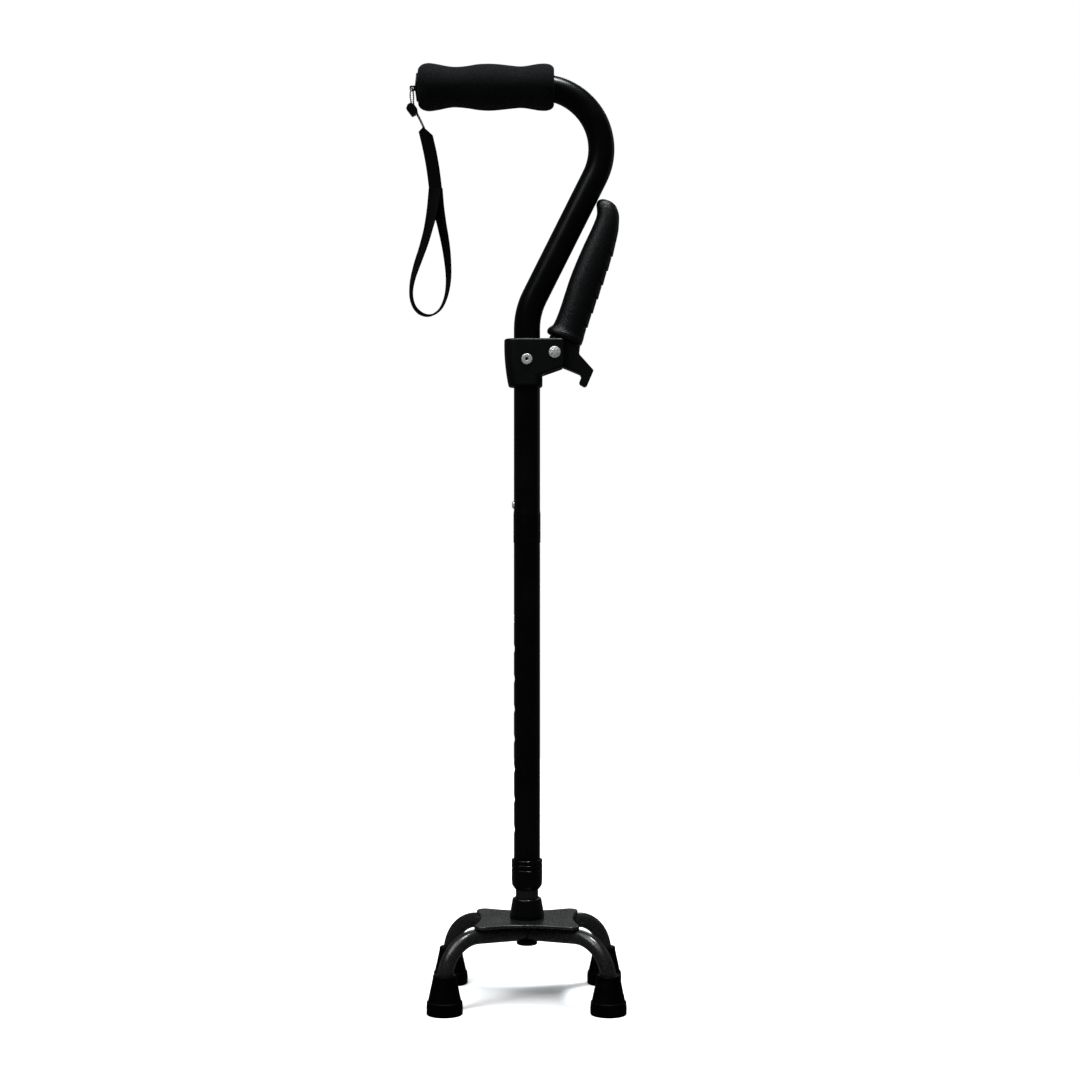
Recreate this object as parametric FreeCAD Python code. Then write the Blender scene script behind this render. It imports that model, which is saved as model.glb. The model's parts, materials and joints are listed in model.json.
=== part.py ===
import FreeCAD, Part
import math
import os

# Quad walking cane with a fold-down assist handle and a wrist strap.
# Millimetres. +Z is up, the origin is on the shaft's axis at floor level.
# The offset handle lies in the XZ plane: the grip points to -X, the assist handle is on the +X side.
# Front is the -Y side and left is the -X side.

Vector = FreeCAD.Vector
UP = Vector(0, 0, 1)
ACROSS = Vector(0, 1, 0)
GRIPWARD = Vector(-1, 0, 0)

# Height adjustment: one-inch steps, drawn at the lowest setting
HOLE_PITCH = 25.4
HEIGHT_HOLES = 8
TOP_HOLE_Z = 320.6
HOLE_RADIUS = 3.8

# Telescoping tubes (radii)
LOWER_TUBE_OUTER = 9.525
LOWER_TUBE_INNER = 8.025
LOWER_TUBE_BOTTOM = 62.6
LOWER_TUBE_TOP = 350.0
SHAFT_OUTER = 11.1
SHAFT_INNER = 9.6
SHAFT_BOTTOM = 103.0
SEAM_Z = 384.7
NECK_OUTER = 9.54
NECK_INNER = 8.3
NECK_TOP = 455.0
FLARE_OUTER = 11.45
FLARE_INNER = 9.95
FLARE_LENGTH = 24.0

# Quad base
FOOT_SPACING_X = 134.0
FOOT_SPACING_Y = 104.0
FOOT_HEIGHT = 32.0
FOOT_RADIUS = 15.0
LEG_RADIUS = 6.35
LEG_WALL = 1.5
LEG_BEND = 32.0
LEG_RISE_DEG = 4.1
LEG_ROOT_Z = 55.9
LEG_END_Z = 7.5
WASHER_THICKNESS = 1.5
PLATE_BOTTOM = 65.6
PLATE_THICKNESS = 2.4
TAB_RADIAL = (17.5, 27.5)
TAB_THICKNESS = 3.0
BOOT_TOP = 85.0
PLUG_BOTTOM = 45.5
PLUG_STEM = 5.8

# Lock collar
COLLAR_BOTTOM = 92.6
COLLAR_TOP = 117.6
COLLAR_RADIUS = 13.0

# Offset handle tube
HANDLE_Z = 769.7
HANDLE_END_X = -92.1
SLANT_DEG = 26.63
LOWER_BEND_Z = 579.6
LOWER_BEND = 60.0
UPPER_BEND = 52.3
FIT = 0.03

# Snap buttons
LOWER_BUTTON_RADIUS = 3.7
UPPER_BUTTON_Z = 416.7
UPPER_BUTTON_RADIUS = 3.3
UPPER_HOLE_RADIUS = 3.4

# Bracket and assist handle
BRACKET_BOTTOM = 516.0
BRACKET_TOP = 556.5
BRACKET_DEPTH = 15.0
SLEEVE_RIGHT_X = 13.1
CHEEK_DEPTH = 15.0
TOP_ROUNDING = 1.8
CHEEK_END_X = 31.4
SLOT_HALF_WIDTH = 8.5
SLOT_START_X = 14.7
RIVET_Z = 538.9
RIVET_SHANK = 3.0
RIVET_RECESS = 0.4
RIVET_HEAD = 4.55
PIVOT_HEAD = 4.85
HEAD_CLEARANCE = 0.4
PIVOT_X = 23.3
PIVOT_Z = 544.7
HUB_RADIUS = 8.3
LEVER_HALF_WIDTH = 8.4
STOWED_LEAN_DEG = 20.7
SWING_DEG = 60.0
GRIP_FOOT_X = 23.3
GRIP_FOOT_Z = 546.0
GRIP_START = 12.3
CORE_END = 116.0

# Wrist strap
EYE_X = -97.1
EYE_Z = 768.8
EYE_HOLE = 1.3
EYE_HALF_THICKNESS = 1.1
STRING_RADIUS = 0.75
BEAD_HALF_DEPTH = 3.6
WEBBING_THICKNESS = 1.6
LOOP_TUBE_RADIUS = 2.3
NECK_END_Z = 682.9
LOOP_END_Z = 682.5

LEG_RUN = math.hypot(FOOT_SPACING_X, FOOT_SPACING_Y) / 2
LEG_HEADING = math.atan2(FOOT_SPACING_Y, FOOT_SPACING_X)
CORNERS = {
    "front_left": (-1, -1),
    "front_right": (1, -1),
    "rear_left": (-1, 1),
    "rear_right": (1, 1),
}

parts = {}


def rounded_wire(points, radii, closed=False):
    """Straight runs through the points, with a tangent arc of the given radius at each corner."""
    count = len(points)
    corners = []
    for i, point in enumerate(points):
        at_end = not closed and i in (0, count - 1)
        if at_end or radii[i] == 0:
            corners.append((point, None, point))
            continue
        back = (points[i - 1] - point).normalize()
        ahead = (points[(i + 1) % count] - point).normalize()
        half = back.getAngle(ahead) / 2
        reach = radii[i] / math.tan(half)
        inset = radii[i] / math.sin(half) - radii[i]
        middle = point + (back + ahead).normalize() * inset
        corners.append((point + back * reach, middle, point + ahead * reach))
    edges = []
    last = count if closed else count - 1
    for i, (start, middle, end) in enumerate(corners):
        if middle:
            edges.append(Part.Arc(start, middle, end).toShape())
        following = corners[(i + 1) % count][0]
        if i < last and end.distanceToPoint(following) > 1e-6:
            edges.append(Part.LineSegment(end, following).toShape())
    return Part.Wire(edges)


def solid_of(shape):
    """The same shape as one solid that is the right way out."""
    solid = shape.Solids[0] if shape.Solids else Part.Solid(shape)
    if solid.Volume < 0:
        solid.reverse()
    return solid


def turned(profile, radii=None, base=Vector(), axis=UP):
    """A solid turned about the axis, from (radius, height) points."""
    corners = [Vector(radius, 0, height) for radius, height in profile]
    wire = rounded_wire(corners, radii or [0] * len(corners), closed=True)
    solid = solid_of(Part.Face(wire).revolve(Vector(), UP, 360))
    solid.Placement = FreeCAD.Placement(base, FreeCAD.Rotation(UP, axis))
    return solid


def plate_xz(profile, radii, half_depth):
    """An outline in the XZ plane made into a plate that is centred on Y = 0."""
    corners = [Vector(x, -half_depth, z) for x, z in profile]
    face = Part.Face(rounded_wire(corners, radii, closed=True))
    return solid_of(face.extrude(Vector(0, 2 * half_depth, 0)))


def round_bar(points, radii, radius):
    """A round bar along a path of straight runs and arcs."""
    path = rounded_wire(points, radii)
    section = Part.Wire(Part.Circle(points[0], points[1] - points[0], radius).toShape())
    return solid_of(path.makePipeShell([section], True, True))


def box(low, high):
    """A block between two corners."""
    size = Vector(*high) - Vector(*low)
    return Part.makeBox(size.x, size.y, size.z, Vector(*low))


def edges_where(shape, test):
    """The shape's edges whose middle point passes the test."""
    chosen = []
    for edge in shape.Edges:
        middle = edge.valueAt((edge.FirstParameter + edge.LastParameter) / 2)
        if test(middle):
            chosen.append(edge)
    return chosen


def side_hole(radius, height):
    """A round cutter through the -X wall of the shaft at a height."""
    return Part.makeCylinder(radius, 12, Vector(-3, 0, height), GRIPWARD)


# ---------------------------------------------------------------- base

def leg_points(x_side, y_side, start):
    """The leg's centre line, from near the cane's axis outward and down into its foot."""
    east = x_side * math.cos(LEG_HEADING)
    north = y_side * math.sin(LEG_HEADING)
    crest = LEG_ROOT_Z + (LEG_RUN - LOWER_TUBE_OUTER) * math.tan(math.radians(LEG_RISE_DEG))
    slope = math.tan(math.radians(LEG_RISE_DEG))
    route = [
        (start, LEG_ROOT_Z + (start - LOWER_TUBE_OUTER) * slope),
        (LEG_RUN, crest),
        (LEG_RUN, LEG_END_Z),
    ]
    return [Vector(run * east, run * north, height) for run, height in route]


def leg_bar(x_side, y_side, radius):
    """A round bar along the leg's centre line, from just inside the plug's stem."""
    start = PLUG_STEM / 2
    return round_bar(leg_points(x_side, y_side, start), [0, LEG_BEND, 0], radius)


def make_leg(x_side, y_side):
    """A bent tube, coped to the plug's stem and mitred against its neighbours."""
    gap = 0.2
    quarter = box((gap, gap, 0), (120, 120, 100))
    if x_side < 0:
        quarter = quarter.mirror(Vector(), Vector(1, 0, 0))
    if y_side < 0:
        quarter = quarter.mirror(Vector(), Vector(0, 1, 0))
    stem = Part.makeCylinder(PLUG_STEM + FIT, 100)
    tube = leg_bar(x_side, y_side, LEG_RADIUS).cut(leg_bar(x_side, y_side, LEG_RADIUS - LEG_WALL))
    return solid_of(tube.common(quarter).cut(stem))


def make_foot(x_side, y_side):
    """A rubber tip: a wide skirt, a ring step, a tapering body and a rolled rim."""
    profile = [
        (0, 0),
        (FOOT_RADIUS - 0.2, 0),
        (FOOT_RADIUS, 5.2),
        (FOOT_RADIUS - 0.4, 10.4),
        (FOOT_RADIUS - 1.3, 10.8),
        (9.8, 29.0),
        (9.7, FOOT_HEIGHT),
        (0, FOOT_HEIGHT),
    ]
    radii = [0, 0.8, 5, 0.5, 0.3, 0.4, 1.1, 0]
    place = Vector(x_side * FOOT_SPACING_X / 2, y_side * FOOT_SPACING_Y / 2, 0)
    foot = turned(profile, radii, place)
    pocket_floor = LEG_END_Z - WASHER_THICKNESS
    pocket = Part.makeCylinder(LEG_RADIUS + 0.05, 20, place + Vector(0, 0, pocket_floor))
    tread = turned([(8.5, -1), (10, -1), (10, 1.2), (8.5, 1.2)], base=place)
    return solid_of(foot.cut(pocket).cut(leg_bar(x_side, y_side, LEG_RADIUS + FIT)).cut(tread))


def make_washer(x_side, y_side):
    """A steel disc in the foot, under the end of the leg tube."""
    place = Vector(x_side * FOOT_SPACING_X / 2, y_side * FOOT_SPACING_Y / 2, LEG_END_Z - WASHER_THICKNESS)
    return Part.makeCylinder(LEG_RADIUS, WASHER_THICKNESS, place)


def make_tab(x_side, y_side):
    """A short upright plate that fills the gap between leg and base plate."""
    near, far = TAB_RADIAL
    half = TAB_THICKNESS / 2
    block = box((near, -half, 58), (far, half, PLATE_BOTTOM))
    heading = math.degrees(math.atan2(y_side * math.sin(LEG_HEADING), x_side * math.cos(LEG_HEADING)))
    block.rotate(Vector(), UP, heading)
    return solid_of(block.cut(leg_bar(x_side, y_side, LEG_RADIUS + 0.01)))


def make_base_plate():
    """A flat pressing with four lobes over the legs and four hollow sides."""
    lobe_x = 43.4
    lobe_y = 38.4
    waist_x = 39.0
    waist_y = 30.2
    tip_x = 41.7
    tip_y = 36.5
    side_y = 30.2
    side_x = 33.4
    edges = []
    for x_side, y_side in ((1, 1), (-1, 1), (-1, -1), (1, -1)):
        beside = Vector(x_side * lobe_x, y_side * side_y, PLATE_BOTTOM)
        tip = Vector(x_side * tip_x, y_side * tip_y, PLATE_BOTTOM)
        ahead = Vector(x_side * side_x, y_side * lobe_y, PLATE_BOTTOM)
        edges.append(Part.Arc(beside, tip, ahead).toShape())
    for y_side in (1, -1):
        ends = [Vector(x_side * side_x, y_side * lobe_y, PLATE_BOTTOM) for x_side in (1, -1)]
        edges.append(Part.Arc(ends[0], Vector(0, y_side * waist_y, PLATE_BOTTOM), ends[1]).toShape())
    for x_side in (1, -1):
        ends = [Vector(x_side * lobe_x, y_side * side_y, PLATE_BOTTOM) for y_side in (1, -1)]
        edges.append(Part.Arc(ends[0], Vector(x_side * waist_x, 0, PLATE_BOTTOM), ends[1]).toShape())
    outline = Part.Wire(Part.__sortEdges__(edges))
    plate = solid_of(Part.Face(outline).extrude(Vector(0, 0, PLATE_THICKNESS)))
    top = PLATE_BOTTOM + PLATE_THICKNESS
    plate = plate.makeFillet(0.9, edges_where(plate, lambda p: abs(p.z - top) < 0.01))
    post = Part.makeCylinder(LOWER_TUBE_OUTER + FIT, 20, Vector(0, 0, PLATE_BOTTOM - 5))
    return solid_of(plate.cut(post))


def make_base_boot():
    """A conical cover over the weld between post and plate."""
    bottom = PLATE_BOTTOM + PLATE_THICKNESS
    outside = turned(
        [(0, bottom), (14.5, bottom), (14.4, bottom + 3.5), (12.1, BOOT_TOP), (0, BOOT_TOP)],
        [0, 0.4, 2, 1.6, 0],
    )
    hollow = turned([(0, bottom - 1), (12.2, bottom - 1), (10.2, BOOT_TOP - 4), (0, BOOT_TOP - 4)])
    bore = Part.makeCylinder(LOWER_TUBE_OUTER + FIT, 40, Vector(0, 0, bottom - 5))
    return solid_of(outside.cut(hollow).cut(bore))


def make_lower_tube():
    """The inner tube, which runs down through the plate and rests on the legs."""
    length = LOWER_TUBE_TOP - LOWER_TUBE_BOTTOM
    foot = Vector(0, 0, LOWER_TUBE_BOTTOM)
    tube = Part.makeCylinder(LOWER_TUBE_OUTER, length, foot)
    tube = tube.cut(Part.makeCylinder(LOWER_TUBE_INNER, length, foot))
    return solid_of(tube.cut(side_hole(HOLE_RADIUS, TOP_HOLE_Z)))


def make_bottom_plug():
    """A flanged plug under the legs. Its stem passes between them and up into the lower tube."""
    flange = 8.85
    flange_top = 49.0
    bore = LOWER_TUBE_INNER - FIT
    head = LOWER_TUBE_BOTTOM + 12
    profile = [
        (0, PLUG_BOTTOM),
        (flange, PLUG_BOTTOM),
        (flange, flange_top),
        (PLUG_STEM, flange_top),
        (PLUG_STEM, LOWER_TUBE_BOTTOM),
        (bore, LOWER_TUBE_BOTTOM),
        (bore, head),
        (0, head),
    ]
    return turned(profile, [0, 1.2, 0.2, 0, 0, 0, 0.5, 0])


# ---------------------------------------------------------------- snap buttons and clips

def make_button(radius, flange_radius, flange_start, tip, height):
    """A flanged button that looks out of the -X side of the shaft."""
    flange_end = flange_start + 0.8
    profile = [
        (0, flange_start),
        (flange_radius, flange_start),
        (flange_radius, flange_end),
        (radius, flange_end),
        (radius, tip - 0.9),
        (radius - 1.6, tip),
        (0, tip),
    ]
    return turned(profile, [0, 0, 0, 0, 0.9, 1.2, 0], Vector(0, 0, height), GRIPWARD)


def make_clip(left_x, right_x, top_z, bottom_z):
    """A hairpin of spring strip: one leaf behind the button, one on the far wall."""
    width = 5.0
    thickness = 0.5
    bend = 5.4
    path = rounded_wire(
        [Vector(left_x, 0, top_z), Vector(left_x, 0, bottom_z), Vector(right_x, 0, bottom_z),
         Vector(right_x, 0, top_z)],
        [0, bend, bend, 0],
    )
    corners = [
        Vector(left_x - thickness / 2, -width / 2, top_z),
        Vector(left_x + thickness / 2, -width / 2, top_z),
        Vector(left_x + thickness / 2, width / 2, top_z),
        Vector(left_x - thickness / 2, width / 2, top_z),
    ]
    section = Part.makePolygon(corners + corners[:1])
    return solid_of(path.makePipeShell([section], True, True))


# ---------------------------------------------------------------- shaft and collar

def make_middle_tube():
    """The outer tube: a row of height holes, and a reduced neck that enters the handle tube."""
    shoulder = SEAM_Z - 0.1
    profile = [
        (SHAFT_INNER, SHAFT_BOTTOM),
        (SHAFT_OUTER, SHAFT_BOTTOM),
        (SHAFT_OUTER, shoulder),
        (NECK_OUTER + 0.3, shoulder),
        (NECK_OUTER, shoulder + 1.2),
        (NECK_OUTER, NECK_TOP - 1),
        (NECK_OUTER - 0.5, NECK_TOP),
        (NECK_INNER, NECK_TOP),
        (NECK_INNER, shoulder + 4),
        (SHAFT_INNER, shoulder - 4),
    ]
    radii = [0, 0, 0.4, 0, 0, 0, 0, 0, 2, 2]
    tube = turned(profile, radii)
    for step in range(HEIGHT_HOLES):
        tube = tube.cut(side_hole(HOLE_RADIUS, TOP_HOLE_Z - step * HOLE_PITCH))
    return solid_of(tube.cut(side_hole(UPPER_HOLE_RADIUS, UPPER_BUTTON_Z)))


def make_split_ring():
    """A tapered nylon ring with a slit, between the tube's end and the collar's seat."""
    bore = LOWER_TUBE_OUTER + 0.05
    ring = turned([(bore, 97.0), (10.5, 97.0), (11.1, 102.9), (bore, 102.9)])
    slit = box((0, -1, 90), (20, 1, 110))
    return solid_of(ring.cut(slit))


def make_lock_collar():
    """A screwed collar with a tapered lower end, grooves around its upper half and a conical seat."""
    profile = [
        (LOWER_TUBE_OUTER + 0.2, COLLAR_BOTTOM),
        (10.3, COLLAR_BOTTOM),
        (COLLAR_RADIUS - 0.4, COLLAR_BOTTOM + 3.2),
        (COLLAR_RADIUS, COLLAR_BOTTOM + 7.5),
        (COLLAR_RADIUS, 109.0),
        (COLLAR_RADIUS - 0.6, 109.6),
        (COLLAR_RADIUS, 110.2),
        (COLLAR_RADIUS, 113.4),
        (COLLAR_RADIUS - 0.6, 114.0),
        (COLLAR_RADIUS, 114.6),
        (COLLAR_RADIUS, COLLAR_TOP),
        (SHAFT_OUTER + 0.25, COLLAR_TOP),
        (SHAFT_OUTER + 0.25, 113.5),
        (SHAFT_OUTER + 0.05, 113.5),
        (SHAFT_OUTER + 0.05, 102.9),
        (10.55, 96.6),
        (LOWER_TUBE_OUTER + 0.2, 96.6),
    ]
    radii = [0] * len(profile)
    radii[2] = 2
    radii[3] = 4
    radii[10] = 0.8
    return turned(profile, radii)


# ---------------------------------------------------------------- handle

def handle_points(start_z):
    """The handle tube's centre line: up, along the slant, over the bend and back along the grip."""
    rise = HANDLE_Z - LOWER_BEND_Z
    return [
        Vector(0, 0, start_z),
        Vector(0, 0, LOWER_BEND_Z),
        Vector(rise * math.tan(math.radians(SLANT_DEG)), 0, HANDLE_Z),
        Vector(HANDLE_END_X, 0, HANDLE_Z),
    ]


def handle_bar(radius):
    """A round bar along the handle tube's centre line."""
    return round_bar(handle_points(SEAM_Z), [0, LOWER_BEND, UPPER_BEND, 0], radius)


def across_hole(radius, x, z):
    """A round cutter along Y, right through the cane."""
    return Part.makeCylinder(radius, 60, Vector(x, -30, z), ACROSS)


def make_handle_tube():
    """A bent tube with a flared lower end, a button hole and a rivet hole."""
    flare_top = SEAM_Z + FLARE_LENGTH
    flare = turned([
        (0, SEAM_Z),
        (FLARE_OUTER, SEAM_Z),
        (FLARE_OUTER, flare_top),
        (SHAFT_OUTER, flare_top + 4),
        (0, flare_top + 4),
    ])
    outside = handle_bar(SHAFT_OUTER).fuse(flare)
    inside = handle_bar(SHAFT_INNER).fuse(
        Part.makeCylinder(FLARE_INNER, FLARE_LENGTH, Vector(0, 0, SEAM_Z)))
    tube = outside.cut(inside)
    tube = tube.cut(side_hole(UPPER_HOLE_RADIUS, UPPER_BUTTON_Z))
    return solid_of(tube.cut(across_hole(RIVET_SHANK + FIT, 0, RIVET_Z)))


def make_foam_grip():
    """A foam sleeve with three lobes, pushed over the tube up to the start of the bend."""
    left = HANDLE_END_X
    right = 23.2
    lobes = Part.BSplineCurve()
    lobes.interpolate([
        Vector(left + 1.6, 0, 16.9),
        Vector(-83.0, 0, 19.8),
        Vector(-60.0, 0, 16.9),
        Vector(-34.6, 0, 19.5),
        Vector(-4.2, 0, 17.3),
        Vector(13.5, 0, 19.45),
        Vector(right - 1.6, 0, 17.4),
    ])
    first = lobes.StartPoint
    last = lobes.EndPoint
    edges = [
        Part.LineSegment(Vector(left, 0, 0), Vector(left, 0, 14.6)).toShape(),
        Part.Arc(Vector(left, 0, 14.6), Vector(left + 0.5, 0, 16.0), first).toShape(),
        lobes.toShape(),
        Part.Arc(last, Vector(right - 0.5, 0, 16.3), Vector(right, 0, 14.8)).toShape(),
        Part.LineSegment(Vector(right, 0, 14.8), Vector(right, 0, 0)).toShape(),
        Part.LineSegment(Vector(right, 0, 0), Vector(left, 0, 0)).toShape(),
    ]
    sleeve = solid_of(Part.Face(Part.Wire(edges)).revolve(Vector(), Vector(1, 0, 0), 360))
    sleeve.translate(Vector(0, 0, HANDLE_Z))
    return solid_of(sleeve.cut(handle_bar(SHAFT_OUTER + FIT)))


def make_end_plug():
    """A domed plug in the tube's open end, with an eye for the strap's string."""
    flange = 12.0
    spigot = SHAFT_INNER - FIT
    dome = turned(
        [(0, -12), (spigot, -12), (spigot, 0), (flange, 0), (flange, 1.2), (0, 2.9)],
        [0, 0.6, 0, 0.2, 0.5, 0],
        Vector(HANDLE_END_X, 0, HANDLE_Z),
        GRIPWARD,
    )
    eye = plate_xz(
        [(-99.2, EYE_Z - 2.1), (-93.5, EYE_Z - 2.1), (-93.5, EYE_Z + 2.1), (-99.2, EYE_Z + 2.1)],
        [1.3, 0, 0, 1.3],
        EYE_HALF_THICKNESS,
    )
    return solid_of(dome.fuse(eye).cut(across_hole(EYE_HOLE, EYE_X, EYE_Z)))


# ---------------------------------------------------------------- bracket and rivets

def make_bracket_sleeve():
    """The bracket's rounded sleeve, a little wider at the top than at the bottom."""
    front = -BRACKET_DEPTH
    top_left = Vector(-19.1, front, BRACKET_TOP)
    bottom_left = Vector(-15.5, front, BRACKET_BOTTOM)
    bottom_right = Vector(SLEEVE_RIGHT_X, front, BRACKET_BOTTOM)
    top_right = Vector(SLEEVE_RIGHT_X, front, BRACKET_TOP)
    outline = Part.Wire([
        Part.Arc(top_left, Vector(-18.4, front, 535.0), bottom_left).toShape(),
        Part.makeLine(bottom_left, bottom_right),
        Part.makeLine(bottom_right, top_right),
        Part.makeLine(top_right, top_left),
    ])
    sleeve = solid_of(Part.Face(outline).extrude(Vector(0, 2 * BRACKET_DEPTH, 0)))
    sleeve = sleeve.makeFillet(11.0, edges_where(sleeve, lambda p: p.x < -16 and abs(p.y) > 14))
    sleeve = sleeve.makeFillet(7.0, edges_where(sleeve, lambda p: p.x > 13 and abs(p.y) > 14))
    sleeve = sleeve.makeFillet(TOP_ROUNDING, edges_where(sleeve, lambda p: abs(p.z - BRACKET_TOP) < 0.01))
    return sleeve.makeFillet(2.2, edges_where(sleeve, lambda p: abs(p.z - BRACKET_BOTTOM) < 0.01))


def make_bracket_cheeks():
    """The block that reaches out to the pivot, before its slot is cut."""
    block = plate_xz(
        [
            (0, 521.6),
            (SLEEVE_RIGHT_X, 526.2),
            (29.6, 532.0),
            (CHEEK_END_X, 534.4),
            (CHEEK_END_X, BRACKET_TOP),
            (0, BRACKET_TOP),
        ],
        [0, 0, 1.5, 1.5, 3.0, 0],
        CHEEK_DEPTH,
    )
    rims = edges_where(block, lambda p: abs(abs(p.y) - CHEEK_DEPTH) < 0.01 and p.x > 1)
    return block.makeFillet(TOP_ROUNDING, rims)


def make_bracket():
    """A moulded clamp: a sleeve round the tube and two cheeks that hold the assist handle's hub."""
    body = solid_of(make_bracket_sleeve().fuse(make_bracket_cheeks()))
    slot = box((SLOT_START_X, -SLOT_HALF_WIDTH, 500), (40, SLOT_HALF_WIDTH, 570))
    bore = Part.makeCylinder(SHAFT_OUTER + FIT, 80, Vector(0, 0, 500))
    body = body.cut(slot).cut(bore)
    body = body.cut(across_hole(RIVET_SHANK + FIT, 0, RIVET_Z))
    body = body.cut(across_hole(RIVET_SHANK + FIT, PIVOT_X, PIVOT_Z))
    for side_sign in (1, -1):
        outward = ACROSS * side_sign
        start = Vector(0, side_sign * (BRACKET_DEPTH - RIVET_RECESS), RIVET_Z)
        body = body.cut(Part.makeCylinder(RIVET_HEAD + HEAD_CLEARANCE, 5, start, outward))
        start = Vector(PIVOT_X, side_sign * (CHEEK_DEPTH - RIVET_RECESS), PIVOT_Z)
        body = body.cut(Part.makeCylinder(PIVOT_HEAD + HEAD_CLEARANCE, 5, start, outward))
    body = solid_of(body)
    slot_rims = edges_where(body, lambda p: abs(abs(p.y) - SLOT_HALF_WIDTH) < 0.01 and p.x > 15)
    return solid_of(body.makeFillet(0.6, slot_rims))


def make_bracket_rivet():
    """A rivet through bracket and tube, drilled at both ends, with a rolled head on each side."""
    under_head = BRACKET_DEPTH - RIVET_RECESS
    top = under_head + 1.5
    drilled = 6.0
    profile = [
        (0, drilled - top),
        (1.4, drilled - top),
        (1.4, -top),
        (RIVET_HEAD, -top),
        (RIVET_HEAD, -under_head),
        (RIVET_SHANK, -under_head),
        (RIVET_SHANK, under_head),
        (RIVET_HEAD, under_head),
        (RIVET_HEAD, top),
        (1.4, top),
        (1.4, top - drilled),
        (0, top - drilled),
    ]
    radii = [0, 0, 0.5, 1.1, 0.1, 0, 0, 0.1, 1.1, 0.5, 0, 0]
    return turned(profile, radii, Vector(0, 0, RIVET_Z), ACROSS)


def make_pivot_rivet():
    """A solid domed rivet that the assist handle turns on."""
    under_head = CHEEK_DEPTH - RIVET_RECESS
    top = under_head + 2.0
    profile = [
        (0, -top),
        (2.4, -top),
        (PIVOT_HEAD, -under_head - 1.0),
        (PIVOT_HEAD, -under_head),
        (RIVET_SHANK, -under_head),
        (RIVET_SHANK, under_head),
        (PIVOT_HEAD, under_head),
        (PIVOT_HEAD, under_head + 1.0),
        (2.4, top),
        (0, top),
    ]
    radii = [0, 2.5, 0.6, 0.1, 0, 0, 0.1, 0.6, 2.5, 0]
    return turned(profile, radii, Vector(PIVOT_X, 0, PIVOT_Z), ACROSS)


# ---------------------------------------------------------------- assist handle

def along_grip(distance, outward, across=0):
    """A point by its distance up the stowed grip's axis from its foot, and outward from that axis."""
    lean = math.radians(STOWED_LEAN_DEG)
    x = GRIP_FOOT_X + distance * math.sin(lean) + outward * math.cos(lean)
    z = GRIP_FOOT_Z + distance * math.cos(lean) - outward * math.sin(lean)
    return Vector(x, across, z)


def swung_back(x, z):
    """Where a point of the swung-down handle lies when the handle is stowed."""
    turn = math.radians(SWING_DEG)
    from_pivot_x = x - PIVOT_X
    from_pivot_z = z - PIVOT_Z
    return (
        PIVOT_X + from_pivot_x * math.cos(turn) - from_pivot_z * math.sin(turn),
        PIVOT_Z + from_pivot_x * math.sin(turn) + from_pivot_z * math.cos(turn),
    )


def grip_core(clearance, start):
    """The lever's bar inside the grip, or the cavity for it."""
    inner = -3.0 - clearance
    outer = 9.5 + clearance
    half = 5.5 + clearance
    end = CORE_END + clearance
    corners = [along_grip(start, inner, -half), along_grip(start, outer, -half)]
    corners += [along_grip(start, outer, half), along_grip(start, inner, half)]
    face = Part.Face(Part.makePolygon(corners + corners[:1]))
    return solid_of(face.extrude(along_grip(end, 0) - along_grip(start, 0)))


def make_assist_lever():
    """Hub, core and hook in one piece. The hook's pad lies on the tube when the handle is down."""
    pad_x = SHAFT_OUTER + 0.12
    pad_low = swung_back(pad_x, 507.0)
    pad_high = swung_back(pad_x, 514.2)
    neck_right = along_grip(GRIP_START, 18.4)
    neck_left = along_grip(GRIP_START, -8.2)
    profile = [
        (17.4, 540.2),
        (30.0, 532.7),
        (44.8, 526.6),
        (45.9, 524.5),
        pad_high,
        pad_low,
        (56.2, 530.0),
        (44.0, 543.6),
        (neck_right.x, neck_right.z),
        (neck_left.x, neck_left.z),
        (15.6, 549.0),
    ]
    radii = [0, 3, 1.0, 0.8, 2.3, 2.4, 1.6, 2.5, 0, 0, 0]
    blade = plate_xz(profile, radii, LEVER_HALF_WIDTH)
    hub = Part.makeCylinder(
        HUB_RADIUS, 2 * LEVER_HALF_WIDTH, Vector(PIVOT_X, -LEVER_HALF_WIDTH, PIVOT_Z), ACROSS)
    core = grip_core(0, GRIP_START - 6)
    lever = blade.fuse([hub, core]).cut(across_hole(RIVET_SHANK + 0.05, PIVOT_X, PIVOT_Z))
    lever = solid_of(lever.removeSplitter())

    def on_rim(point):
        at_side = abs(abs(point.y) - LEVER_HALF_WIDTH) < 0.01
        return at_side and math.hypot(point.x - PIVOT_X, point.z - PIVOT_Z) > RIVET_SHANK + 1

    return solid_of(lever.makeFillet(0.9, edges_where(lever, on_rim)))


def grip_section(distance, inner, outer, half_depth):
    """One closed oval section of the grip, square to its axis."""
    middle = (inner + outer) / 2
    reach = (outer - inner) / 2
    steps = 16
    points = []
    for i in range(steps):
        angle = 2 * math.pi * i / steps
        points.append(along_grip(distance, middle + reach * math.cos(angle), half_depth * math.sin(angle)))
    curve = Part.BSplineCurve()
    curve.interpolate(points, PeriodicFlag=True)
    return Part.Wire(curve.toShape())


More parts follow.
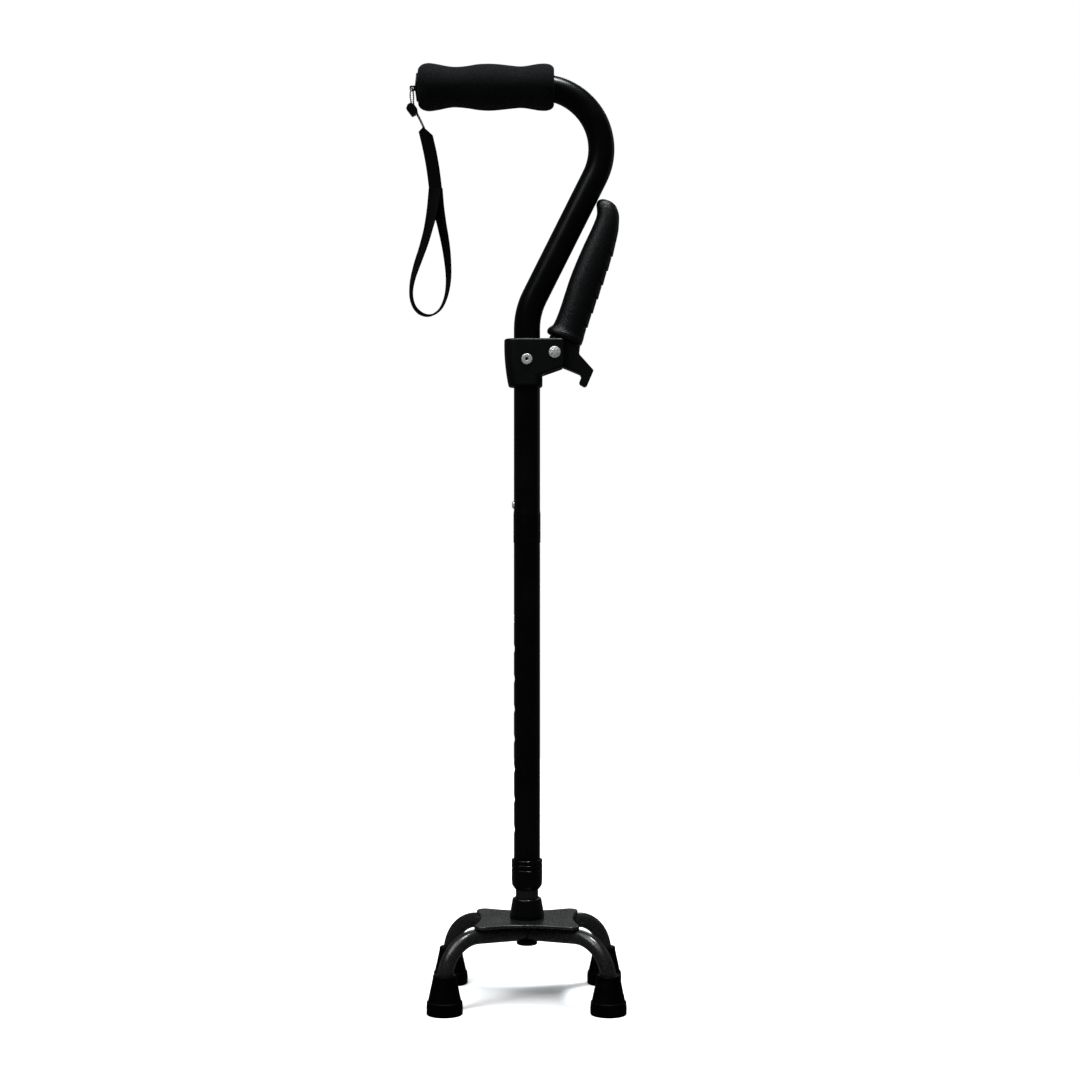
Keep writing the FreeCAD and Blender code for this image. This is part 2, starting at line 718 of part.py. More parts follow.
def make_assist_grip():
    """A rubber sleeve over the core: a flared lip at the bottom and a nose that hooks inward on top."""
    lip = Part.makeLoft([
        grip_section(GRIP_START, -9.6, 18.8, 12.6),
        grip_section(GRIP_START + 1.2, -11.4, 19.2, 13.6),
        grip_section(GRIP_START + 3.2, -11.6, 19.1, 13.6),
        grip_section(GRIP_START + 6.7, -10.2, 18.6, 12.6),
    ], True, False)
    body = Part.makeLoft([
        grip_section(GRIP_START + 6.7, -10.2, 18.6, 12.6),
        grip_section(26, -9.2, 18.1, 12.2),
        grip_section(44, -9.1, 17.9, 12.2),
        grip_section(62, -9.9, 17.8, 12.2),
        grip_section(80, -9.6, 17.4, 12.0),
        grip_section(98, -8.5, 16.2, 11.4),
        grip_section(113, -7.6, 14.2, 10.6),
        grip_section(124, -8.4, 11.4, 9.4),
    ], True, False)
    crown = Part.makeLoft([
        grip_section(124, -8.4, 11.4, 9.4),
        grip_section(128, -9.6, 9.8, 8.6),
        grip_section(131.5, -10.3, 7.4, 7.2),
        grip_section(134.5, -9.2, 3.6, 4.8),
        grip_section(135.8, -6.6, 0.2, 2.4),
    ], True, False)
    grip = solid_of(lip).fuse([solid_of(body), solid_of(crown)])
    return solid_of(grip.cut(grip_core(0.05, GRIP_START - 2)))


# ---------------------------------------------------------------- wrist strap

STRING_ROUTE = [
    Vector(-87.4, -0.9, 735.0),
    Vector(-90.4, -0.9, 741.6),
    Vector(-94.3, -1.0, 748.6),
    Vector(-97.6, -1.2, 755.6),
    Vector(-98.9, -1.9, 762.4),
    Vector(-97.5, -1.9, 769.0),
    Vector(-96.7, 1.9, 769.0),
    Vector(-95.9, 1.9, 762.4),
    Vector(-96.2, 1.2, 755.8),
    Vector(-93.2, 1.0, 748.4),
    Vector(-89.4, 0.9, 741.4),
    Vector(-86.6, 0.9, 735.0),
]

LOOP_ROUTE = [
    Vector(-77.6, -2.4, LOOP_END_Z),
    Vector(-79.4, -2.4, 667.7),
    Vector(-82.9, -2.3, 650.8),
    Vector(-87.2, -2.0, 635.4),
    Vector(-92.4, -1.5, 620.2),
    Vector(-96.8, -0.9, 605.2),
    Vector(-97.6, -0.4, 591.6),
    Vector(-93.2, 0.0, 581.2),
    Vector(-83.7, 0.3, 576.4),
    Vector(-74.2, 0.6, 581.0),
    Vector(-68.8, 1.0, 592.2),
    Vector(-66.5, 1.5, 606.9),
    Vector(-66.9, 2.0, 622.1),
    Vector(-68.8, 2.3, 637.3),
    Vector(-72.2, 2.4, 654.2),
    Vector(-75.2, 2.4, 669.4),
    Vector(-76.4, 2.4, LOOP_END_Z),
]


def bend_radii(route):
    """The largest arc that each corner's two runs allow."""
    radii = [0]
    for before, corner, after in zip(route, route[1:], route[2:]):
        turn = (corner - before).getAngle(after - corner)
        shorter = min(corner.distanceToPoint(before), corner.distanceToPoint(after))
        radii.append(0.45 * shorter / math.tan(turn / 2))
    return radii + [0]


def make_cord(name, route, radius):
    """A plain round cord along a route, with its measures printed."""
    radii = bend_radii(route)
    cord = round_bar(route, radii, radius)
    length = rounded_wire(route, radii).Length
    expected = math.pi * radius ** 2 * length
    print(name, "length %.1f" % length, "volume ratio %.4f" % (cord.Volume / expected))
    print("  bend radii", " ".join("%.1f" % r for r in radii[1:-1]))
    return cord


def string_bar(clearance):
    """The string, a little fatter, as a cutter for what it passes through."""
    return round_bar(STRING_ROUTE, bend_radii(STRING_ROUTE), STRING_RADIUS + clearance)


def make_strap_neck():
    """The webbing's two ends, sewn flat on each other."""
    depth = WEBBING_THICKNESS
    front = -depth
    left = [Vector(-90.8, front, 732.2), Vector(-86.5, front, 709.0), Vector(-82.4, front, NECK_END_Z)]
    right = [Vector(-71.9, front, NECK_END_Z), Vector(-75.4, front, 709.0), Vector(-82.4, front, 732.0)]
    tip = [Vector(-88.2, front, 735.2), Vector(-85.2, front, 735.2)]
    edges = [
        Part.Arc(*left).toShape(),
        Part.LineSegment(left[2], right[0]).toShape(),
        Part.Arc(*right).toShape(),
        Part.LineSegment(right[2], tip[1]).toShape(),
        Part.LineSegment(tip[1], tip[0]).toShape(),
        Part.LineSegment(tip[0], left[0]).toShape(),
    ]
    neck = Part.Face(Part.Wire(edges)).extrude(Vector(0, 2 * depth, 0))
    return solid_of(solid_of(neck).cut(string_bar(0.05)))


def make_bead():
    """A pointed bead, with both strands of the string through it."""
    bead = plate_xz(
        [
            (-98.2, 756.2),
            (-95.3, 754.8),
            (-92.6, 751.2),
            (-92.1, 747.2),
            (-97.2, 744.8),
            (-102.1, 751.3),
            (-100.7, 754.8),
        ],
        [0.8, 1.5, 1.5, 0.8, 0.8, 1.2, 1.2],
        BEAD_HALF_DEPTH,
    )
    rims = edges_where(bead, lambda p: abs(abs(p.y) - BEAD_HALF_DEPTH) < 0.01)
    bead = bead.makeFillet(0.7, rims)
    return solid_of(bead.cut(string_bar(0.06)))


# ---------------------------------------------------------------- all parts

for corner, (x_side, y_side) in CORNERS.items():
    parts["leg_" + corner] = make_leg(x_side, y_side)
    parts["foot_" + corner] = make_foot(x_side, y_side)
parts["foot_washers"] = Part.makeCompound([make_washer(*sides) for sides in CORNERS.values()])
parts["weld_tabs"] = Part.makeCompound([make_tab(*sides) for sides in CORNERS.values()])
parts["base_plate"] = make_base_plate()
parts["base_boot"] = make_base_boot()
parts["lower_tube"] = make_lower_tube()
parts["bottom_plug"] = make_bottom_plug()
parts["lower_clip"] = make_clip(-5.35, 7.3, 327, 270)
parts["lower_button"] = make_button(LOWER_BUTTON_RADIUS, 4.4, 5.62, 11.0, TOP_HOLE_Z)

parts["middle_tube"] = make_middle_tube()
parts["split_ring"] = make_split_ring()
parts["lock_collar"] = make_lock_collar()
parts["upper_clip"] = make_clip(-6.05, 7.4, 424, 390)
parts["upper_button"] = make_button(UPPER_BUTTON_RADIUS, 4.1, 6.32, 12.7, UPPER_BUTTON_Z)

parts["handle_tube"] = make_handle_tube()
parts["foam_grip"] = make_foam_grip()
parts["end_plug"] = make_end_plug()
parts["bracket"] = make_bracket()
parts["bracket_rivet"] = make_bracket_rivet()
parts["pivot_rivet"] = make_pivot_rivet()

parts["assist_lever"] = make_assist_lever()
parts["assist_grip"] = make_assist_grip()

parts["strap_string"] = make_cord("strap_string", STRING_ROUTE, STRING_RADIUS)
parts["strap_loop"] = make_cord("strap_loop", LOOP_ROUTE, LOOP_TUBE_RADIUS)
parts["strap_neck"] = make_strap_neck()
parts["cord_bead"] = make_bead()

os.makedirs("parts", exist_ok=True)
for node, shape in parts.items():
    shape.exportStep("parts/%s.step" % node)
    state = "valid" if shape.isValid() else "NOT VALID"
    print("%-18s %s solids %d volume %.1f" % (node, state, len(shape.Solids), shape.Volume))
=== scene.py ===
import json
import math

import bmesh
import bpy
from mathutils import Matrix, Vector, noise


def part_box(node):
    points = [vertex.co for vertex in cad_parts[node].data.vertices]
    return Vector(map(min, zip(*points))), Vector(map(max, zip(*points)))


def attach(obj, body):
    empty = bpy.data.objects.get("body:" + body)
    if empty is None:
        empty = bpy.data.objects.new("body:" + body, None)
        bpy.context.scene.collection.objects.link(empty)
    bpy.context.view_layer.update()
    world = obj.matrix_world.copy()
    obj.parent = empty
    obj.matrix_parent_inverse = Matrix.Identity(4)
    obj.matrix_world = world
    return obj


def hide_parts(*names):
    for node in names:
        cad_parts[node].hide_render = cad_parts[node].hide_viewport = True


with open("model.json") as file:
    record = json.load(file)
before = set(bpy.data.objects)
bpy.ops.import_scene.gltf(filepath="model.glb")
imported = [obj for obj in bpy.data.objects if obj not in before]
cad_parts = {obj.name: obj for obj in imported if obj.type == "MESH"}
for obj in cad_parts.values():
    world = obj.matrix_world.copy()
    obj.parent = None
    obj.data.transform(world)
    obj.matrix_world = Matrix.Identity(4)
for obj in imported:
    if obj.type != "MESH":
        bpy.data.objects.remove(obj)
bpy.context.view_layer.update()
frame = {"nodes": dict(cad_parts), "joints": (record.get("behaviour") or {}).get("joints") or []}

# A quad walking cane, in metres. +Z is up and the floor is at 0. The grip points to -X, the front is -Y.
# The CAD nodes keep their shapes and get materials. Foam, rubber grip, webbing, string, stitches and the
# pivot rivet are built here, in the places that their CAD solids hold.

MM = 0.001
ALONG_X = Vector((1, 0, 0))
ALONG_Y = Vector((0, 1, 0))
ALONG_Z = Vector((0, 0, 1))

# Foam sleeve: (distance from its left end, radius), how uneven it is, then the tube that it sits on
FOAM_OUTLINE_MM = [
    (0.25, 13.6), (0.35, 15.2), (1.3, 16.7), (3.4, 18.5), (6.4, 19.55), (9.9, 19.9), (16.4, 19.1),
    (26.6, 17.1), (33.4, 16.8), (42.1, 17.6), (50.3, 18.95), (58.7, 19.45), (67.1, 19.15),
    (77.3, 18.0), (84.1, 17.3), (87.5, 17.25), (91.1, 17.5), (97.6, 18.6), (102.6, 19.35),
    (107.6, 19.5), (111.0, 18.9), (113.6, 17.5), (114.9, 15.4), (114.9, 13.4),
]
FOAM_STEPS_PER_POINT = 12
FOAM_UNEVENNESS = 0.14 * MM
FOAM_UNEVEN_SIZE = 11 * MM
FOAM_SQUEEZE = 0.05 * MM
TUBE_RADIUS = 11.1 * MM
HANDLE_BEND_START = 10.6 * MM
HANDLE_BEND_RADIUS = 52.3 * MM

# Assist grip: (distance from the pivot, inner edge, outer edge, half depth) in the grip's own axes
GRIP_SECTIONS_MM = [
    (12.5, -9.4, 17.6, 11.6),
    (12.7, -11.0, 18.8, 13.0),
    (14.2, -12.1, 19.3, 13.8),
    (16.6, -12.1, 19.2, 13.8),
    (18.8, -10.8, 18.8, 12.9),
    (21.4, -9.2, 18.5, 12.4),
    (28.0, -8.6, 18.3, 12.2),
    (38.0, -8.7, 18.2, 12.2),
    (50.0, -9.3, 18.1, 12.2),
    (64.0, -9.85, 17.85, 12.2),
    (80.0, -9.5, 17.4, 12.0),
    (93.0, -8.8, 16.9, 11.7),
    (104.0, -7.9, 16.0, 11.2),
    (114.0, -7.3, 14.5, 10.6),
    (120.5, -7.5, 12.7, 10.0),
    (125.0, -9.0, 11.2, 9.3),
    (128.5, -10.8, 9.5, 8.4),
    (131.4, -11.1, 7.2, 7.2),
    (133.7, -9.9, 4.8, 5.6),
    (135.2, -7.6, 1.8, 3.6),
    (135.8, -4.6, -1.2, 1.4),
]
GRIP_LEAN_DEG = 20.7
GRIP_ABOVE_PIVOT = 1.3 * MM
# Its finger ribs. Groove and lip are shares of the pitch, and the ribs fade in between two cosines of
# the angle from the grip's outer side.
RIB_START = 28.2 * MM
RIB_PITCH = 12.75 * MM
RIB_COUNT = 7
RIB_SLANT = 0.65
RIB_LIP = 0.75 * MM
RIB_GROOVE = 0.55 * MM
RIB_GROOVE_SHARE = 0.045
RIB_LIP_SHARE = 0.07
RIB_FADE = (0.58, 0.78)

# Wrist strap
ROUTE_RESOLUTION = 24
STRING_DIAMETER = 1.5 * MM
STRING_LAY = 3.4 * MM
STRING_STEP = 0.2 * MM
STRING_ROUTE = [
    (-0.0874, -0.0009, 0.7350),
    (-0.0904, -0.0009, 0.7416),
    (-0.0943, -0.0010, 0.7486),
    (-0.0976, -0.0012, 0.7556),
    (-0.0989, -0.0019, 0.7624),
    (-0.0975, -0.0019, 0.7690),
    (-0.0967, 0.0019, 0.7690),
    (-0.0959, 0.0019, 0.7624),
    (-0.0962, 0.0012, 0.7558),
    (-0.0932, 0.0010, 0.7484),
    (-0.0894, 0.0009, 0.7414),
    (-0.0866, 0.0009, 0.7350),
]
WEBBING_WIDTH = 11.0 * MM
WEBBING_THICKNESS = 1.7 * MM
WEBBING_STEP = 0.26 * MM
LOOP_ROUTE = [
    (-0.0776, -0.0010, 0.6840),
    (-0.0794, -0.0019, 0.6677),
    (-0.0829, -0.0022, 0.6508),
    (-0.0872, -0.0020, 0.6354),
    (-0.0927, -0.0015, 0.6202),
    (-0.0973, -0.0009, 0.6052),
    (-0.0983, -0.0004, 0.5916),
    (-0.0939, 0.0000, 0.5806),
    (-0.0837, 0.0003, 0.5755),
    (-0.0737, 0.0006, 0.5804),
    (-0.0682, 0.0010, 0.5922),
    (-0.0661, 0.0015, 0.6069),
    (-0.0669, 0.0020, 0.6221),
    (-0.0688, 0.0022, 0.6373),
    (-0.0722, 0.0022, 0.6542),
    (-0.0752, 0.0019, 0.6694),
    (-0.0768, 0.0010, 0.6840),
]
# How far the band has turned from facing the front, at shares of the loop's length
LOOP_TURN_DEG = [
    (0.0, 6), (0.07, 26), (0.15, 45), (0.28, 56), (0.38, 74), (0.47, 81), (0.53, 99),
    (0.62, 106), (0.76, 124), (0.87, 136), (0.94, 154), (1.0, 174),
]
NECK_ROUTE = [
    (-0.0772, 0.0, 0.6825),
    (-0.0785, 0.0, 0.6945),
    (-0.0807, 0.0, 0.7085),
    (-0.0835, 0.0, 0.7220),
    (-0.0870, 0.0, 0.7362),
]
# The folded end's point: its place across the width from -1 to 1, and what each corner loses
NECK_APEX = -0.1
NECK_LEFT_LOSS = 3.2 * MM
NECK_RIGHT_LOSS = 9.0 * MM
# Seams on the neck, from and to: (share of its length, place across its width from -1 to 1)
SEAMS = [
    ((0.55, -0.72), (0.86, -0.72)),
    ((0.86, -0.72), (0.76, 0.60)),
    ((0.76, 0.66), (0.55, 0.72)),
    ((0.55, 0.72), (0.55, -0.72)),
    ((0.55, -0.72), (0.76, 0.62)),
    ((0.86, -0.68), (0.55, 0.72)),
    ((0.06, -0.76), (0.06, 0.76)),
    ((0.13, 0.76), (0.13, -0.76)),
]
STITCH_LENGTH = 2.1 * MM
STITCH_START_SHARE = 0.08
STITCH_END_SHARE = 0.92

# Pivot rivet: its domed heads, and the stake marks round them
RIVET_HEAD_THICKNESS = 2.0 * MM
RIVET_RIM = 0.9 * MM
RIVET_CROWN = 1.1 * MM
RIVET_CROWN_POWER = 2.6
RIVET_SHANK_RADIUS = 3 * MM
STAKES = 7
STAKE_TURN = 0.3
STAKE_REACH = 0.68
STAKE_LENGTH = 0.16
STAKE_DEPTH = 0.5 * MM
STAKE_NARROWNESS = 8
# Stake marks deeper than this share get the dark material: painted shade in their hollows.
STAKE_SHADE_LEVEL = 0.45

# Painted shade: the radius of the bracket rivet's drilled hole, painted near-black inside, and the height
# below which the lower tube's foot is painted dark
BRACKET_RIVET_HOLE = 1.35 * MM
SHADE_PAINTED_BELOW = 66 * MM

# Camera and stage
CAMERA_PLACE = Vector((0.011, -1.6, 0.405))
CAMERA_LENS = 63.1
CAMERA_SHIFT = -0.0197
FLOOR_RADIUS = 1.6
SOFTBOX_COLOUR = (0.90, 0.965, 1.0)


# ---------------------------------------------------------------- mesh helpers

def add_object(name, mesh):
    """The mesh as a new object in the scene."""
    thing = bpy.data.objects.new(name, mesh)
    bpy.context.scene.collection.objects.link(thing)
    return thing


def mesh_from(name, points, faces):
    """A smooth-shaded mesh whose faces all look outward."""
    mesh = bpy.data.meshes.new(name)
    mesh.from_pydata(points, [], faces)
    work = bmesh.new()
    work.from_mesh(mesh)
    bmesh.ops.remove_doubles(work, verts=work.verts, dist=1e-7)
    bmesh.ops.recalc_face_normals(work, faces=work.faces)
    work.to_mesh(mesh)
    work.free()
    mesh.shade_smooth()
    return mesh


def ring_faces(ring_count, ring_size, joined=False):
    """Quads between rings of points stored one after another. joined ties the last ring to the first."""
    faces = []
    last = ring_count if joined else ring_count - 1
    for ring in range(last):
        here = ring * ring_size
        there = (ring + 1) % ring_count * ring_size
        for i in range(ring_size):
            j = (i + 1) % ring_size
            faces.append((here + i, here + j, there + j, there + i))
    return faces


def tube_between(rings):
    """Points and faces of a skin over closed rings, with a fan over each end."""
    size = len(rings[0])
    points = [point for ring in rings for point in ring]
    faces = ring_faces(len(rings), size)
    for start in (0, (len(rings) - 1) * size):
        centre = sum((points[start + i] for i in range(size)), Vector()) / size
        points.append(centre)
        faces += [(start + i, start + (i + 1) % size, len(points) - 1) for i in range(size)]
    return points, faces


def join_skins(skins):
    """Several (points, faces) as one."""
    points = []
    faces = []
    for more_points, more_faces in skins:
        shift = len(points)
        points += more_points
        faces += [tuple(index + shift for index in face) for face in more_faces]
    return points, faces


def smooth_through(rows, share):
    """The Catmull-Rom value at a share from 0 to 1 of the way through equally weighted rows."""
    place = min(max(share, 0.0), 1.0) * (len(rows) - 1)
    i = min(int(place), len(rows) - 2)
    t = place - i
    before = rows[max(i - 1, 0)]
    start = rows[i]
    end = rows[i + 1]
    after = rows[min(i + 2, len(rows) - 1)]
    return tuple(
        0.5 * (2 * b + (c - a) * t + (2 * a - 5 * b + 4 * c - d) * t ** 2 + (3 * b - a - 3 * c + d) * t ** 3)
        for a, b, c, d in zip(before, start, end, after)
    )


def interpolate(table, x):
    """The value at x from (x, value) pairs, in straight lines between the pairs."""
    for (x0, y0), (x1, y1) in zip(table, table[1:]):
        if x <= x1:
            return y0 + (y1 - y0) * max(0.0, (x - x0) / (x1 - x0))
    return table[-1][1]


def smooth_step(low, high, x):
    """0 below low and 1 above high, with a soft rise between them."""
    t = min(max((x - low) / (high - low), 0.0), 1.0)
    return t * t * (3 - 2 * t)


def route_points(name, route):
    """Points read from the NURBS spline that has the route as its control points."""
    curve = bpy.data.curves.new(name, "CURVE")
    curve.dimensions = "3D"
    curve.resolution_u = ROUTE_RESOLUTION
    spline = curve.splines.new("NURBS")
    spline.points.add(len(route) - 1)
    for point, place in zip(spline.points, route):
        point.co = (*place, 1.0)
    spline.order_u = 3
    spline.use_endpoint_u = True
    holder = bpy.data.objects.new(name, curve)
    line = bpy.data.meshes.new_from_object(holder)
    points = [vertex.co.copy() for vertex in line.vertices]
    bpy.data.objects.remove(holder)
    bpy.data.curves.remove(curve)
    bpy.data.meshes.remove(line)
    return points


def evenly(points, spacing):
    """The same line with points at an even spacing."""
    distances = [0.0]
    for a, b in zip(points, points[1:]):
        distances.append(distances[-1] + (b - a).length)
    count = max(2, round(distances[-1] / spacing))
    result = []
    i = 0
    for step in range(count + 1):
        wanted = distances[-1] * step / count
        while i < len(points) - 2 and distances[i + 1] < wanted:
            i += 1
        share = (wanted - distances[i]) / (distances[i + 1] - distances[i])
        result.append(points[i].lerp(points[i + 1], share))
    return result


def line_length(points):
    return sum((b - a).length for a, b in zip(points, points[1:]))


def directions(points):
    """The line's direction at each of its points."""
    count = len(points)
    return [(points[min(i + 1, count - 1)] - points[max(i - 1, 0)]).normalized() for i in range(count)]


def circle(centre, side, other_side, radius, count):
    """Points round a circle in the plane of the two sides."""
    ring = []
    for i in range(count):
        angle = 2 * math.pi * i / count
        ring.append(centre + side * (radius * math.cos(angle)) + other_side * (radius * math.sin(angle)))
    return ring


# ---------------------------------------------------------------- material helpers

class Finish:
    """A node material. Its patterns are in the piece's own rest position, in metres."""

    def __init__(self, name):
        self.material = bpy.data.materials.new(name)
        self.material.use_nodes = True
        self.tree = self.material.node_tree
        self.shader = self.tree.nodes["Principled BSDF"]
        self.place = self.add("ShaderNodeTexCoord").outputs["Object"]

    def add(self, kind, inputs=None, **settings):
        """A new node with its settings, and its inputs linked or set."""
        node = self.tree.nodes.new(kind)
        for name, value in settings.items():
            setattr(node, name, value)
        for key, value in (inputs or {}).items():
            self.feed(node.inputs[key], value)
        return node

    def feed(self, socket, value):
        """Links or sets one input."""
        if isinstance(value, bpy.types.NodeSocket):
            self.tree.links.new(value, socket)
        else:
            socket.default_value = value

    def stretched(self, scale):
        """The rest position, scaled along each axis."""
        return self.add("ShaderNodeMapping", {"Vector": self.place, "Scale": scale}).outputs["Vector"]

    def noise(self, size, detail=3.0, roughness=0.55, place=None):
        """Cloudy values from 0 to 1, with blotches of about the given size."""
        inputs = {"Vector": place or self.place, "Scale": 1 / size, "Detail": detail, "Roughness": roughness}
        return self.add("ShaderNodeTexNoise", inputs).outputs["Fac"]

    def cells(self, size, feature="SMOOTH_F1"):
        """Cells of about the given size: 0 at a cell's middle. Only SMOOTH_F1 has no creases between them."""
        inputs = {"Vector": self.place, "Scale": 1 / size}
        return self.add("ShaderNodeTexVoronoi", inputs, feature=feature).outputs["Distance"]

    def math(self, operation, first, second=0.0):
        """One step of arithmetic on one or two values."""
        return self.add("ShaderNodeMath", {0: first, 1: second}, operation=operation).outputs[0]

    def ramp(self, value, low, high, start=0.0, end=1.0):
        """The value carried from low-high to start-end, with soft ends."""
        inputs = {"Value": value, "From Min": low, "From Max": high, "To Min": start, "To Max": end}
        return self.add("ShaderNodeMapRange", inputs, interpolation_type="SMOOTHSTEP").outputs["Result"]

    def mix(self, factor, first, second):
        """A colour between two colours. The node's colour sockets can only be told apart by number."""
        colour_a, colour_b, colour_result = 6, 7, 2
        inputs = {"Factor": factor, colour_a: colour(first), colour_b: colour(second)}
        return self.add("ShaderNodeMix", inputs, data_type="RGBA").outputs[colour_result]

    def bump(self, height, depth, strength=1.0, after=None):
        """A normal from a height of 0 to 1 that is worth the given depth."""
        inputs = {"Height": height, "Distance": depth, "Strength": strength}
        if after:
            inputs["Normal"] = after
        return self.add("ShaderNodeBump", inputs).outputs["Normal"]

    def edges(self, radius):
        """1 along sharp edges and 0 on faces, with the normal that rounds those edges."""
        rounded = self.add("ShaderNodeBevel", {"Radius": radius}, samples=6).outputs["Normal"]
        plain = self.add("ShaderNodeNewGeometry").outputs["Normal"]
        compare = self.add("ShaderNodeVectorMath", {0: rounded, 1: plain}, operation="DOT_PRODUCT")
        return self.ramp(compare.outputs["Value"], 0.995, 0.86), rounded

    def axis(self, name):
        """One coordinate of the rest position."""
        return self.add("ShaderNodeSeparateXYZ", {0: self.place}).outputs[name]

    def finish(self, **values):
        """Sets the shader: keys are its input names, with underscores for spaces."""
        for key, value in values.items():
            self.feed(self.shader.inputs[key.replace("_", " ")], value)
        return self.material


def colour(value):
    """A grey level or an RGB triple as RGBA. A socket stays as it is."""
    if isinstance(value, (int, float)):
        return (value, value, value, 1.0)
    if isinstance(value, tuple):
        return (*value, 1.0)
    return value


def powder_coat(name, base, tint):
    """Satin powder coat: fine orange peel, faint cloudiness, handling scuffs and paler edges."""
    f = Finish(name)
    peel = f.noise(0.9 * MM, 2.0)
    grain = f.noise(0.22 * MM, 2.0)
    clouds = f.noise(28 * MM, 4.0)
    scuffs = f.noise(1.0, 6.0, 0.7, f.stretched((900, 900, 70)))
    edge_mask, rounded = f.edges(0.35 * MM)
    scuffed = f.ramp(scuffs, 0.62, 0.74)
    tone = f.mix(f.ramp(clouds, 0.35, 0.7), base, tint)
    tone = f.mix(f.math("MULTIPLY", scuffed, 0.25), tone, (0.0040, 0.0041, 0.0045))
    tone = f.mix(f.math("MULTIPLY", edge_mask, 0.4), tone, (0.018, 0.018, 0.020))
    height = f.math("ADD", f.math("MULTIPLY", peel, 0.7), f.math("MULTIPLY", grain, 0.3))
    rough = f.math("ADD", f.ramp(clouds, 0.3, 0.75, 0.25, 0.32), f.math("MULTIPLY", scuffed, 0.1))
    return f.finish(Base_Color=tone, Roughness=rough, Specular_IOR_Level=0.08,
                    Normal=f.bump(height, 0.03 * MM, 0.5, rounded))


def gunmetal(name, rub, hammered):
    """Dark gunmetal paint with soft clouds. rub is how pale its edges are, hammered how strong its grain."""
    f = Finish(name)
    grain = f.cells(1.25 * MM)
    fine = f.noise(0.45 * MM, 3.0, 0.6)
    clouds = f.noise(17 * MM, 4.0)
    edge_mask, rounded = f.edges(0.4 * MM)
    mottle = f.math("ADD", f.math("MULTIPLY", grain, 0.6), f.math("MULTIPLY", fine, 0.5))
    spread = f.ramp(mottle, 0.3, 0.8, 0.5 - hammered / 2, 0.5 + hammered / 2)
    tone = f.mix(spread, (0.034, 0.034, 0.0335), (0.0060, 0.0060, 0.0060))
    tone = f.mix(f.ramp(clouds, 0.4, 0.7, 0.0, 0.35), tone, (0.011, 0.011, 0.0108))
    tone = f.mix(f.math("MULTIPLY", edge_mask, rub), tone, (0.26, 0.26, 0.265))
    rough = f.math("ADD", f.ramp(mottle, 0.3, 0.9, 0.19, 0.32), f.ramp(clouds, 0.4, 0.7, 0.0, 0.05))
    return f.finish(Base_Color=tone, Metallic=0.8, Roughness=rough, Specular_IOR_Level=0.2,
                    Normal=f.bump(mottle, 0.07 * MM * hammered, 0.6, rounded))


def grey_satin(name):
    """Dark grey satin paint, drawn faintly along the tube, with rub marks from the collar. The tube's foot,
    between the legs, is painted dark: painted shade under the plate."""
    f = Finish(name)
    drawn = f.noise(1.0, 5.0, 0.6, f.stretched((1500, 1500, 60)))
    clouds = f.noise(12 * MM, 4.0)
    rubbed = f.noise(1.0, 5.0, 0.65, f.stretched((300, 300, 35)))
    tone = f.mix(f.ramp(drawn, 0.35, 0.7), (0.0066, 0.0067, 0.0070), (0.0045, 0.0046, 0.0049))
    tone = f.mix(f.ramp(clouds, 0.45, 0.7, 0.0, 0.4), tone, (0.0038, 0.0039, 0.0041))
    tone = f.mix(f.ramp(rubbed, 0.6, 0.75, 0.0, 0.3), tone, (0.018, 0.018, 0.019))
    # Below this height the tube is painted near-black: painted shade under the plate and between the legs.
    foot = f.ramp(f.axis("Z"), SHADE_PAINTED_BELOW, SHADE_PAINTED_BELOW - 3 * MM)
    tone = f.mix(foot, tone, 0.0008)
    return f.finish(Base_Color=tone, Metallic=0.2, Roughness=f.ramp(drawn, 0.3, 0.7, 0.34, 0.42),
                    Specular_IOR_Level=0.09, Normal=f.bump(drawn, 0.012 * MM, 0.5))


def foot_rubber():
    """Moulded rubber with a chalky bloom low down, where it scuffs the floor."""
    f = Finish("foot_rubber")
    grain = f.noise(0.5 * MM, 4.0, 0.6)
    blotch = f.noise(9 * MM, 5.0, 0.65)
    scratch = f.noise(1.0, 5.0, 0.7, f.stretched((260, 260, 900)))
    edge_mask, rounded = f.edges(0.5 * MM)
    low = f.ramp(f.axis("Z"), 9 * MM, 0.5 * MM)
    dust = f.math("MULTIPLY", low, f.ramp(scratch, 0.48, 0.72))
    tone = f.mix(f.ramp(blotch, 0.4, 0.75), 0.0001, (0.0003, 0.0003, 0.0004))
    tone = f.mix(f.math("MULTIPLY", dust, 0.4), tone, (0.0035, 0.0034, 0.0031))
    # Paler sharp edges: partly wear, partly a painted highlight on the rim and ring step.
    tone = f.mix(f.math("MULTIPLY", edge_mask, 0.6), tone, (0.030, 0.030, 0.031))
    rough = f.ramp(blotch, 0.3, 0.8, 0.46, 0.62)
    return f.finish(Base_Color=tone, Roughness=rough, Specular_IOR_Level=0.02,
                    Normal=f.bump(grain, 0.06 * MM, 0.6, rounded))


def moulded_plastic(name, grain_size=0.55 * MM, depth=0.05 * MM, smooth=0.32, rough=0.44):
    """Spark-eroded plastic with polished, slightly paler corners: the paler colour is partly wear, partly a
    painted highlight.
    """
    f = Finish(name)
    grain = f.noise(grain_size, 3.0, 0.6)
    pits = f.cells(grain_size * 1.3, feature="F1")
    clouds = f.noise(14 * MM, 4.0)
    edge_mask, rounded = f.edges(0.45 * MM)
    tone = f.mix(f.ramp(clouds, 0.35, 0.7), (0.0002, 0.0003, 0.0004), (0.0005, 0.0006, 0.0007))
    # Paler sharp edges: partly wear, partly a painted highlight along them.
    tone = f.mix(f.math("MULTIPLY", edge_mask, 0.5), tone, (0.022, 0.023, 0.025))
    height = f.math("ADD", f.math("MULTIPLY", grain, 0.6), f.math("MULTIPLY", pits, 0.4))
    roughness = f.math("SUBTRACT", f.ramp(grain, 0.3, 0.7, smooth, rough), f.math("MULTIPLY", edge_mask, 0.12))
    return f.finish(Base_Color=tone, Roughness=roughness, Specular_IOR_Level=0.14,
                    Normal=f.bump(height, depth, 0.7, rounded))


